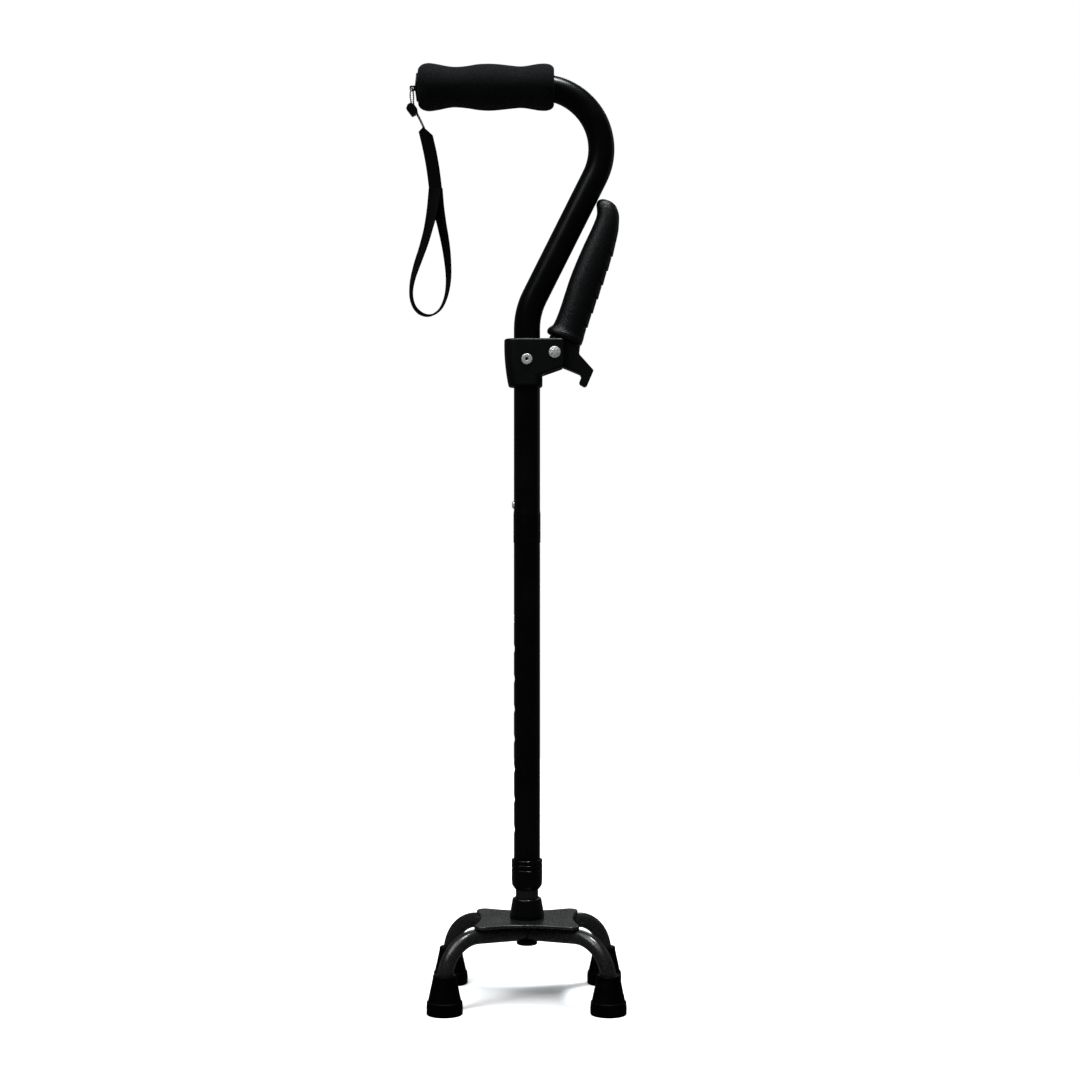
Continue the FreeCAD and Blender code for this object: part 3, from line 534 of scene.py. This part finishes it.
def gloss_plastic():
    """Polished black plastic with fine handling scratches round it."""
    f = Finish("collar_plastic")
    scratch = f.noise(1.0, 6.0, 0.7, f.stretched((120, 120, 2600)))
    smudge = f.noise(11 * MM, 5.0, 0.6)
    tone = f.mix(f.ramp(smudge, 0.4, 0.7), 0.0003, (0.0006, 0.0006, 0.0007))
    rough = f.math("ADD", f.ramp(smudge, 0.35, 0.75, 0.16, 0.22), f.ramp(scratch, 0.6, 0.75, 0.0, 0.10))
    return f.finish(Base_Color=tone, Roughness=rough, Specular_IOR_Level=0.12,
                    Normal=f.bump(scratch, 0.002 * MM, 0.3))


def foam_material():
    """Closed-cell foam: tiny open pores, a speckled skin and a soft sheen."""
    f = Finish("foam_skin")
    pores = f.cells(0.85 * MM, feature="F1")
    grain = f.noise(0.45 * MM, 3.0, 0.65)
    clouds = f.noise(9 * MM, 4.0)
    speck = f.math("ADD", f.math("MULTIPLY", pores, 0.6), f.math("MULTIPLY", grain, 0.5))
    tone = f.mix(f.ramp(speck, 0.35, 0.8), (0.0013, 0.0015, 0.0018), 0.0002)
    tone = f.mix(f.ramp(clouds, 0.45, 0.7, 0.0, 0.4), tone, (0.0012, 0.0014, 0.0016))
    height = f.math("SUBTRACT", 1.0, speck)
    return f.finish(Base_Color=tone, Roughness=f.ramp(speck, 0.3, 0.8, 0.78, 0.95),
                    Sheen_Weight=0.008, Sheen_Roughness=0.45, Specular_IOR_Level=0.05,
                    Normal=f.bump(height, 0.16 * MM, 0.7))


def pebbled_rubber():
    """Grip rubber with a fine raised pebble."""
    f = Finish("pebbled_rubber")
    pebbles = f.cells(0.95 * MM)
    fine = f.noise(0.3 * MM, 2.0)
    clouds = f.noise(12 * MM, 4.0)
    # Pebble tops are painted lighter and the hollows between them darker: painted highlight and shade.
    tone = f.mix(f.ramp(pebbles, 0.2, 0.7), (0.0014, 0.0017, 0.0019), (0.0003, 0.0004, 0.0004))
    tone = f.mix(f.ramp(clouds, 0.45, 0.7, 0.0, 0.4), tone, (0.0011, 0.0013, 0.0014))
    height = f.math("SUBTRACT", f.math("MULTIPLY", fine, 0.2), pebbles)
    return f.finish(Base_Color=tone, Roughness=f.ramp(pebbles, 0.2, 0.8, 0.30, 0.46), Specular_IOR_Level=0.12,
                    Normal=f.bump(height, 0.30 * MM, 0.9))


def turned_metal(name, base, centre, axis, roughness, hole=0.0):
    """Plated metal with fine turning rings about an axis through a centre, with its drilled hole painted
    near-black as shade.
    """
    f = Finish(name)
    flat = tuple(1.0 - part for part in axis)
    offset = f.add("ShaderNodeVectorMath", {0: f.place, 1: tuple(centre)}, operation="SUBTRACT").outputs[0]
    offset = f.add("ShaderNodeVectorMath", {0: offset, 1: flat}, operation="MULTIPLY").outputs[0]
    reach = f.add("ShaderNodeVectorMath", {0: offset}, operation="LENGTH").outputs["Value"]
    rings = f.math("SINE", f.math("MULTIPLY", reach, 2 * math.pi / (0.35 * MM)))
    scratch = f.noise(0.5 * MM, 5.0, 0.7)
    stain = f.noise(1.6 * MM, 4.0)
    tone = f.mix(f.ramp(stain, 0.5, 0.8), base, tuple(0.6 * part for part in base))
    # Inside the drilled hole the colour is painted near-black: painted shade.
    tone = f.mix(f.ramp(reach, hole, hole + 0.1 * MM), 0.002, tone)
    height = f.math("ADD", f.math("MULTIPLY", rings, 0.2), f.math("MULTIPLY", scratch, 0.5))
    rough = f.ramp(stain, 0.3, 0.8, roughness, roughness + 0.14)
    return f.finish(Base_Color=tone, Metallic=0.45, Roughness=rough, Normal=f.bump(height, 0.012 * MM, 0.6))


def strip_steel():
    """Plain strip and washers, drawn lengthwise."""
    f = Finish("strip_steel")
    drawn = f.noise(1.0, 5.0, 0.6, f.stretched((2600, 2600, 130)))
    stain = f.noise(5 * MM, 4.0)
    tone = f.mix(f.ramp(stain, 0.4, 0.75), (0.50, 0.49, 0.47), (0.33, 0.31, 0.29))
    return f.finish(Base_Color=tone, Metallic=1.0, Roughness=f.ramp(drawn, 0.3, 0.7, 0.24, 0.42),
                    Normal=f.bump(drawn, 0.01 * MM, 0.5))


def nylon():
    """Natural nylon, faintly translucent, with flow marks."""
    f = Finish("natural_nylon")
    flow = f.noise(1.0, 4.0, 0.6, f.stretched((500, 500, 160)))
    tone = f.mix(f.ramp(flow, 0.35, 0.7), (0.72, 0.70, 0.64), (0.60, 0.58, 0.52))
    return f.finish(Base_Color=tone, Roughness=0.42, Subsurface_Weight=0.15,
                    Subsurface_Radius=(2 * MM, 2 * MM, 2 * MM), Normal=f.bump(flow, 0.02 * MM, 0.5))


def yarn(name, bright, dark, sheen=0.25):
    """Fibres: fine strands that catch the light unevenly."""
    f = Finish(name)
    fibres = f.noise(0.16 * MM, 4.0, 0.7)
    blotch = f.noise(1.8 * MM, 3.0)
    tone = f.mix(f.ramp(fibres, 0.35, 0.68), dark, bright)
    tone = f.mix(f.ramp(blotch, 0.45, 0.75, 0.0, 0.45), tone, dark)
    return f.finish(Base_Color=tone, Roughness=f.ramp(fibres, 0.3, 0.7, 0.62, 0.85), Sheen_Weight=sheen,
                    Sheen_Roughness=0.4, Specular_IOR_Level=0.03, Normal=f.bump(fibres, 0.05 * MM, 0.8))


# ---------------------------------------------------------------- camera and stage

def add_camera():
    """The camera looks level along +Y. Its shift only centres the cane in the frame."""
    data = bpy.data.cameras.new("camera")
    data.lens = CAMERA_LENS
    data.shift_y = CAMERA_SHIFT
    data.clip_end = 100
    camera = bpy.data.objects.new("camera", data)
    camera.location = CAMERA_PLACE
    camera.rotation_euler = (math.pi / 2, 0, 0)
    bpy.context.scene.collection.objects.link(camera)
    bpy.context.scene.camera = camera


def add_floor():
    """A plain pale floor, a wide disc that ends where it has become as white as the backdrop."""
    sides = 96
    rim = circle(Vector(), ALONG_X, ALONG_Y, FLOOR_RADIUS, sides)
    floor = add_object("floor", mesh_from("floor", rim, [tuple(range(sides))]))
    f = Finish("floor")
    grain = f.noise(6 * MM, 3.0)
    tone = f.mix(grain, (0.86, 0.86, 0.86), (0.90, 0.90, 0.90))
    floor.data.materials.append(f.finish(Base_Color=tone, Roughness=0.9, Specular_IOR_Level=0.1))
    # The black parts mirror the studio, not the floor.
    floor.visible_glossy = False


def add_sun(name, strength, spread_deg, toward):
    """Even light from one side of the sky. A wide spread makes its shadows soft."""
    data = bpy.data.lights.new(name, "SUN")
    data.energy = strength
    data.angle = math.radians(spread_deg)
    lamp = bpy.data.objects.new(name, data)
    lamp.rotation_euler = Vector(toward).to_track_quat("-Z", "Y").to_euler()
    bpy.context.scene.collection.objects.link(lamp)


def add_softbox(name, place, target, size, power):
    """A rectangular light that looks at a target."""
    data = bpy.data.lights.new(name, "AREA")
    data.shape = "RECTANGLE"
    data.size = size[0]
    data.size_y = size[1]
    data.energy = power
    data.color = SOFTBOX_COLOUR
    lamp = bpy.data.objects.new(name, data)
    lamp.location = place
    lamp.rotation_euler = (Vector(target) - Vector(place)).to_track_quat("-Z", "Y").to_euler()
    bpy.context.scene.collection.objects.link(lamp)


def add_world(seen, felt):
    """A backdrop of one strength to the camera, seen, and another to the object, felt."""
    world = bpy.data.worlds.new("studio")
    world.use_nodes = True
    nodes = world.node_tree.nodes
    links = world.node_tree.links
    background = nodes["Background"]
    path = nodes.new("ShaderNodeLightPath")
    pick = nodes.new("ShaderNodeMapRange")
    pick.inputs["To Min"].default_value = felt
    pick.inputs["To Max"].default_value = seen
    links.new(path.outputs["Is Camera Ray"], pick.inputs["Value"])
    links.new(pick.outputs["Result"], background.inputs["Strength"])
    background.inputs["Color"].default_value = (1, 1, 1, 1)
    bpy.context.scene.world = world


# ---------------------------------------------------------------- wrist strap

def build_string(dark, pale):
    """Two plies twisted round each other, along the string's route through bead and eye."""
    line = evenly(route_points("string_route", STRING_ROUTE), STRING_STEP)
    heading = directions(line)
    ply_radius = STRING_DIAMETER / 4
    ply_overlap = 1.04
    sides = 10
    side = heading[0].cross(ALONG_X).normalized()
    rings = [[], []]
    travelled = 0.0
    for i, (point, ahead) in enumerate(zip(line, heading)):
        side = (side - ahead * side.dot(ahead)).normalized()
        other = ahead.cross(side)
        if i:
            travelled += (point - line[i - 1]).length
        for ply in range(2):
            turn = 2 * math.pi * travelled / STRING_LAY + math.pi * ply
            outward = side * math.cos(turn) + other * math.sin(turn)
            centre = point + outward * ply_radius
            rings[ply].append(circle(centre, side, other, ply_radius * ply_overlap, sides))
    skins = [tube_between(ply_rings) for ply_rings in rings]
    points, faces = join_skins(skins)
    string = add_object("strap_string_twist", mesh_from("strap_string_twist", points, faces))
    string.data.materials.append(dark)
    string.data.materials.append(pale)
    first_ply = len(skins[0][1])
    for face in string.data.polygons:
        face.material_index = 0 if face.index < first_ply else 1
    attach(string, "strap")
    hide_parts("strap_string")


def webbing_skin(line, widths, trim=None):
    """A woven band. Its surface is a plain weave: ribs across the width, crossed by picks along it.
    widths gives the band's width direction at each point. trim says how much each column's far end loses."""
    columns = 40
    rib = WEBBING_WIDTH / 10
    pick = 1.05 * MM
    relief = 0.09 * MM
    core = WEBBING_THICKNESS / 2 - relief
    last = len(line) - 1
    spacing = line_length(line) / last
    rings = []
    for i, (point, ahead, width) in enumerate(zip(line, directions(line), widths)):
        normal = ahead.cross(width).normalized()
        across = normal.cross(ahead).normalized()
        top = []
        bottom = []
        for c in range(columns + 1):
            u = c / columns * 2 - 1
            back = trim(u) * (i / last) if trim else 0.0
            rib_share = (u + 1) / 2 * WEBBING_WIDTH / rib
            over = math.cos(math.pi * (i * spacing / pick + int(rib_share)))
            swell = abs(math.sin(math.pi * rib_share)) ** 0.6
            round_off = math.sqrt(max(0.0, 1 - abs(u) ** 14))
            height = core * round_off + relief * swell * (0.5 + 0.5 * over)
            depth = core * round_off + relief * swell * (0.5 - 0.5 * over)
            base = point + across * (u * WEBBING_WIDTH / 2) - ahead * back
            top.append(base + normal * height)
            bottom.append(base - normal * depth)
        rings.append(top + bottom[::-1])
    return tube_between(rings)


def build_loop(webbing):
    """The webbing's free loop. It faces the front at the top and turns edge-on at the bottom."""
    line = evenly(route_points("loop_route", LOOP_ROUTE), WEBBING_STEP)
    widths = []
    for i, ahead in enumerate(directions(line)):
        turn = math.radians(interpolate(LOOP_TURN_DEG, i / (len(line) - 1)))
        in_plane = ahead.cross(ALONG_Y).normalized()
        widths.append(in_plane * math.cos(turn) - ALONG_Y * math.sin(turn))
    points, faces = webbing_skin(line, widths)
    loop = add_object("strap_loop_webbing", mesh_from("strap_loop_webbing", points, faces))
    loop.data.materials.append(webbing)
    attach(loop, "strap")
    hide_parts("strap_loop")
    return loop, line


def neck_line(offset):
    """One layer's centre line, at its distance behind the middle of the neck."""
    route = [(x, y + offset, z) for x, y, z in NECK_ROUTE]
    return evenly(route_points("neck_route", route), WEBBING_STEP)


def neck_trim(u):
    """How much the layer loses at the top: the end is folded to a point left of its middle."""
    if u < NECK_APEX:
        return NECK_LEFT_LOSS * (NECK_APEX - u) / (1 + NECK_APEX)
    return NECK_RIGHT_LOSS * (u - NECK_APEX) / (1 - NECK_APEX)


def build_neck(webbing):
    """The webbing's two ends, one on the other."""
    skins = []
    for offset in (-WEBBING_THICKNESS / 2, WEBBING_THICKNESS / 2):
        line = neck_line(offset)
        skins.append(webbing_skin(line, [ALONG_X] * len(line), neck_trim))
    points, faces = join_skins(skins)
    neck = add_object("strap_neck_webbing", mesh_from("strap_neck_webbing", points, faces))
    neck.data.materials.append(webbing)
    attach(neck, "strap")
    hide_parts("strap_neck")
    return neck


def stitch_skin(start, end, side):
    """One stitch on the neck's front (side -1) or back (side 1), highest and thickest at its middle."""
    beside = (end - start).normalized().cross(ALONG_Y).normalized()
    steps = 8
    rings = []
    for step in range(steps + 1):
        share = step / steps
        bow = math.sin(math.pi * share)
        centre = start.lerp(end, share) + ALONG_Y * (side * (0.22 * bow - 0.10) * MM)
        rings.append(circle(centre, beside, ALONG_Y, (0.10 + 0.10 * bow) * MM, 8))
    return tube_between(rings)


def build_stitches(thread):
    """Rows of lockstitch through both layers: a box and a cross near the top, and two bars low down."""
    line = neck_line(0.0)
    heading = directions(line)
    total = len(line) - 1

    def on_neck(share, u, side):
        i = round(share * total)
        across = ALONG_Y.cross(heading[i]).normalized()
        return line[i] + across * (u * WEBBING_WIDTH / 2) + ALONG_Y * (side * WEBBING_THICKNESS)

    skins = []
    for start, end in SEAMS:
        for side in (-1, 1):
            first = on_neck(*start, side)
            last = on_neck(*end, side)
            count = max(2, round((last - first).length / STITCH_LENGTH))
            for k in range(count):
                a = first.lerp(last, (k + STITCH_START_SHARE) / count)
                b = first.lerp(last, (k + STITCH_END_SHARE) / count)
                skins.append(stitch_skin(a, b, side))
    points, faces = join_skins(skins)
    stitches = add_object("strap_stitches", mesh_from("strap_stitches", points, faces))
    stitches.data.materials.append(thread)
    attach(stitches, "strap")
    return stitches


def build_strap():
    """String, loop, neck and stitches, all carried by the strap's body."""
    webbing = yarn("webbing_yarn", (0.0010, 0.0010, 0.0012), (0.0002, 0.0002, 0.0003), 0.004)
    thread = yarn("stitch_thread", (0.0036, 0.0036, 0.0039), (0.0010, 0.0010, 0.0012), 0.008)
    build_string(yarn("string_dark_ply", (0.012, 0.011, 0.010), (0.003, 0.0028, 0.0025), 0.03),
                 yarn("string_pale_ply", (0.42, 0.38, 0.31), (0.14, 0.12, 0.095)))
    loop, line = build_loop(webbing)
    neck = build_neck(webbing)
    stitches = build_stitches(thread)


# ---------------------------------------------------------------- foam sleeve

def build_foam():
    """A foam sleeve turned about the grip's axis. Its right end sits on the start of the tube's bend."""
    low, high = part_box("foam_grip")
    axis_z = (low.z + high.z) / 2
    around = 128
    outline = []
    steps = FOAM_STEPS_PER_POINT * (len(FOAM_OUTLINE_MM) - 1)
    for step in range(steps + 1):
        distance, radius = smooth_through(FOAM_OUTLINE_MM, step / steps)
        outline.append((low.x + distance * MM, radius * MM, 1.0))
    bore = TUBE_RADIUS - FOAM_SQUEEZE
    mouth = bore + 0.8 * MM
    right = outline[-1][0]
    left = outline[0][0]
    outline += [(right - 0.1 * MM, mouth, 0.0), (right - 0.7 * MM, bore, 0.0)]
    bore_steps = 30
    for step in range(1, bore_steps):
        outline.append((right + (left - right) * step / bore_steps, bore, 0.0))
    outline += [(left + 0.6 * MM, bore, 0.0), (left, mouth, 0.0)]
    rings = []
    for x, radius, outer in outline:
        past = max(0.0, x - HANDLE_BEND_START)
        drop = HANDLE_BEND_RADIUS - math.sqrt(HANDLE_BEND_RADIUS ** 2 - past ** 2)
        middle = Vector((x, 0, axis_z - drop * (1 - outer)))
        ring = circle(middle, ALONG_Z, ALONG_Y, radius, around)
        if outer:
            for i, point in enumerate(ring):
                away = (point - middle).normalized()
                ring[i] = point + away * (FOAM_UNEVENNESS * noise.noise(point / FOAM_UNEVEN_SIZE))
        rings.append(ring)
    points = [point for ring in rings for point in ring]
    faces = ring_faces(len(rings), around, joined=True)
    foam = add_object("foam_sleeve", mesh_from("foam_sleeve", points, faces))
    foam.data.materials.append(foam_material())
    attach(foam, "handle")
    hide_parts("foam_grip")


# ---------------------------------------------------------------- assist grip

def joint_place(name):
    """A joint's pivot, from the record."""
    for joint in frame["joints"]:
        if joint["name"] == name:
            return Vector(joint["pos_m"])
    raise ValueError(name)


def rib_height(distance, slant_back, facing):
    """How far the finger ribs stand out: each rises downward to a lip, with a groove under the lip."""
    along = distance - slant_back - RIB_START
    place = along / RIB_PITCH
    if place < -1 or place >= RIB_COUNT - 1:
        return 0.0
    share = place % 1.0
    to_groove = 1 - share if place < 0 else min(share, 1 - share)
    groove = math.exp(-((to_groove / RIB_GROOVE_SHARE) ** 2))
    lip = (1 - share) ** 1.6 * smooth_step(0.0, RIB_LIP_SHARE, share)
    ends = smooth_step(-1.0, -0.6, place) if place < 0 else 1.0
    return (RIB_LIP * lip * ends - RIB_GROOVE * groove) * facing


def build_assist_grip():
    """A rubber sleeve: a flared lip at the bottom, finger ribs outside and a nose that hooks inward."""
    foot = joint_place("assist_fold") + ALONG_Z * GRIP_ABOVE_PIVOT
    lean = math.radians(GRIP_LEAN_DEG)
    up = Vector((math.sin(lean), 0, math.cos(lean)))
    out = Vector((math.cos(lean), 0, -math.sin(lean)))
    around = 144
    steps = 440
    squareness = 2 / 2.15
    rings = []
    for distance, inner, outer, half in grip_rows(steps):
        middle = (inner + outer) / 2
        reach = (outer - inner) / 2
        ring = []
        for i in range(around):
            angle = 2 * math.pi * i / around
            c = math.cos(angle)
            s = math.sin(angle)
            away_out = math.copysign(abs(c) ** squareness, c)
            away_side = math.copysign(abs(s) ** squareness, s)
            facing = smooth_step(*RIB_FADE, c)
            slant_back = RIB_SLANT * reach * (1 - away_out)
            rise = rib_height(distance, slant_back, facing) if facing else 0.0
            ring.append(foot + up * distance + out * (middle + (reach + rise) * away_out)
                        + ALONG_Y * ((half + rise) * away_side))
        rings.append(ring)
    points, faces = tube_between(rings)
    grip = add_object("assist_grip_rubber", mesh_from("assist_grip_rubber", points, faces))
    grip.data.materials.append(pebbled_rubber())
    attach(grip, "assist_handle")
    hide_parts("assist_grip")


def grip_rows(steps):
    """The grip's sections at an even spacing along its outline, in metres."""
    samples = 2000
    fine = [smooth_through(GRIP_SECTIONS_MM, i / samples) for i in range(samples + 1)]
    travelled = [0.0]
    for a, b in zip(fine, fine[1:]):
        travelled.append(travelled[-1] + math.hypot(b[0] - a[0], b[2] - a[2]))
    rows = []
    i = 0
    for step in range(steps + 1):
        wanted = travelled[-1] * step / steps
        while i < len(travelled) - 1 and travelled[i] < wanted:
            i += 1
        rows.append(tuple(value * MM for value in fine[i]))
    return rows


# ---------------------------------------------------------------- rivets

def stake_mark(reach, angle):
    """How deep a stake mark is, from 0 to 1, at a share of the head's radius and an angle."""
    off_spoke = math.sin(STAKES * (angle - STAKE_TURN) / 2) ** 2
    return math.exp(-((reach - STAKE_REACH) / STAKE_LENGTH) ** 2) * math.exp(-off_spoke * STAKE_NARROWNESS)


def build_pivot_rivet(metal, dent_shade):
    """The pivot's domed rivet, with small stake marks round each head. Their hollows take a dark material:
    painted shade.
    """
    low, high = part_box("pivot_rivet")
    middle = (low + high) / 2
    head = (high.x - low.x) / 2
    under = high.y - RIVET_HEAD_THICKNESS
    around = 120
    steps = 40
    rings = []
    for side in (-1, 1):
        side_rings = []
        for step in range(1, steps + 1):
            share_out = math.sin(step / steps * math.pi / 2)
            radius = head * share_out
            dome = under + RIVET_RIM + RIVET_CROWN * (1 - share_out ** RIVET_CROWN_POWER)
            ring = []
            for i in range(around):
                angle = 2 * math.pi * i / around
                x = middle.x + radius * math.cos(angle)
                y = side * (dome - STAKE_DEPTH * stake_mark(share_out, angle))
                z = middle.z + radius * math.sin(angle)
                ring.append(Vector((x, y, z)))
            side_rings.append(ring)
        for y, radius in ((under, head), (under - 0.1 * MM, RIVET_SHANK_RADIUS)):
            centre = Vector((middle.x, side * y, middle.z))
            side_rings.append(circle(centre, ALONG_X, ALONG_Z, radius, around))
        rings.append(side_rings)
    points, faces = tube_between(rings[0] + rings[1][::-1])
    rivet = add_object("pivot_rivet_staked", mesh_from("pivot_rivet_staked", points, faces))
    rivet.data.materials.append(metal)
    rivet.data.materials.append(dent_shade)
    for face in rivet.data.polygons:
        offset = face.center - middle
        reach = math.hypot(offset.x, offset.z) / head
        angle = math.atan2(offset.z, offset.x)
        marked = stake_mark(reach, angle) > STAKE_SHADE_LEVEL and abs(offset.y) > under
        face.material_index = 1 if marked else 0
    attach(rivet, "handle")
    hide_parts("pivot_rivet")


# ---------------------------------------------------------------- materials on the CAD nodes

def finish_nodes():
    """Gives every CAD node that stays in view its material. Returns the pivot rivet's metal and its dark dent
    material, which paints shade into the stake marks.
    """
    black_tube = powder_coat("black_tube", (0.0003, 0.0003, 0.0004), (0.0006, 0.0006, 0.0007))
    pewter = gunmetal("pewter", 0.0, 1.0)
    rubber = foot_rubber()
    plastic = moulded_plastic("black_plastic")
    gloss = gloss_plastic()
    steel = strip_steel()
    bracket_rivet = centre_of("bracket_rivet")
    pivot = centre_of("pivot_rivet")
    upper = centre_of("upper_button")
    lower = centre_of("lower_button")
    silver = (0.29, 0.29, 0.292)
    finishes = {
        "foot_washers": steel,
        "weld_tabs": pewter,
        "base_plate": gunmetal("plate_pewter", 0.6, 0.3),
        "base_boot": moulded_plastic("boot_plastic", 0.7 * MM, 0.015 * MM, 0.20, 0.30),
        "lower_tube": grey_satin("grey_tube"),
        "bottom_plug": plastic,
        "lower_clip": steel,
        "lower_button": turned_metal("blackened_button", (0.03, 0.03, 0.033), lower, ALONG_X, 0.32),
        "middle_tube": black_tube,
        "split_ring": nylon(),
        "lock_collar": gloss,
        "upper_clip": steel,
        "upper_button": turned_metal("bright_button", silver, upper, ALONG_X, 0.16),
        "handle_tube": black_tube,
        "end_plug": gloss,
        "bracket": plastic,
        "bracket_rivet": turned_metal("bright_rivet", silver, bracket_rivet, ALONG_Y, 0.26,
                                      hole=BRACKET_RIVET_HOLE),
        "assist_lever": plastic,
        "cord_bead": moulded_plastic("bead_plastic", 0.4 * MM, 0.02 * MM, 0.22, 0.32),
    }
    for side in ("front_left", "front_right", "rear_left", "rear_right"):
        finishes["leg_" + side] = pewter
        finishes["foot_" + side] = rubber
    for node, material in finishes.items():
        mesh = frame["nodes"][node].data
        mesh.materials.clear()
        mesh.materials.append(material)
    bright = turned_metal("bright_pivot", silver, pivot, ALONG_Y, 0.26)
    # The second material is dark metal for the stake marks' hollows: painted shade.
    return bright, turned_metal("pivot_dent_shade", (0.02, 0.02, 0.021), pivot, ALONG_Y, 0.4)


def centre_of(node):
    """The middle of a node's box at rest."""
    low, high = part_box(node)
    return (low + high) / 2


add_camera()
build_strap()
build_foam()
build_assist_grip()
build_pivot_rivet(*finish_nodes())
add_floor()
add_world(seen=1.0, felt=0.10)
add_sun("sky", strength=3.4, spread_deg=60, toward=(0.25, 0.35, -1.0))
add_softbox("key", place=(-0.9, -1.1, 2.1), target=(0, 0, 0.5), size=(0.6, 1.2), power=24)
add_softbox("top", place=(0.2, -0.15, 1.9), target=(0, 0, 0.6), size=(0.3, 0.3), power=36)
add_softbox("rim", place=(1.6, 0.9, 1.2), target=(0, 0, 0.5), size=(0.4, 1.6), power=1.2)
add_softbox("back", place=(0.3, 2.4, 1.9), target=(0, 0, 0.4), size=(1.2, 1.2), power=14)
bpy.context.scene.view_settings.view_transform = "Standard"
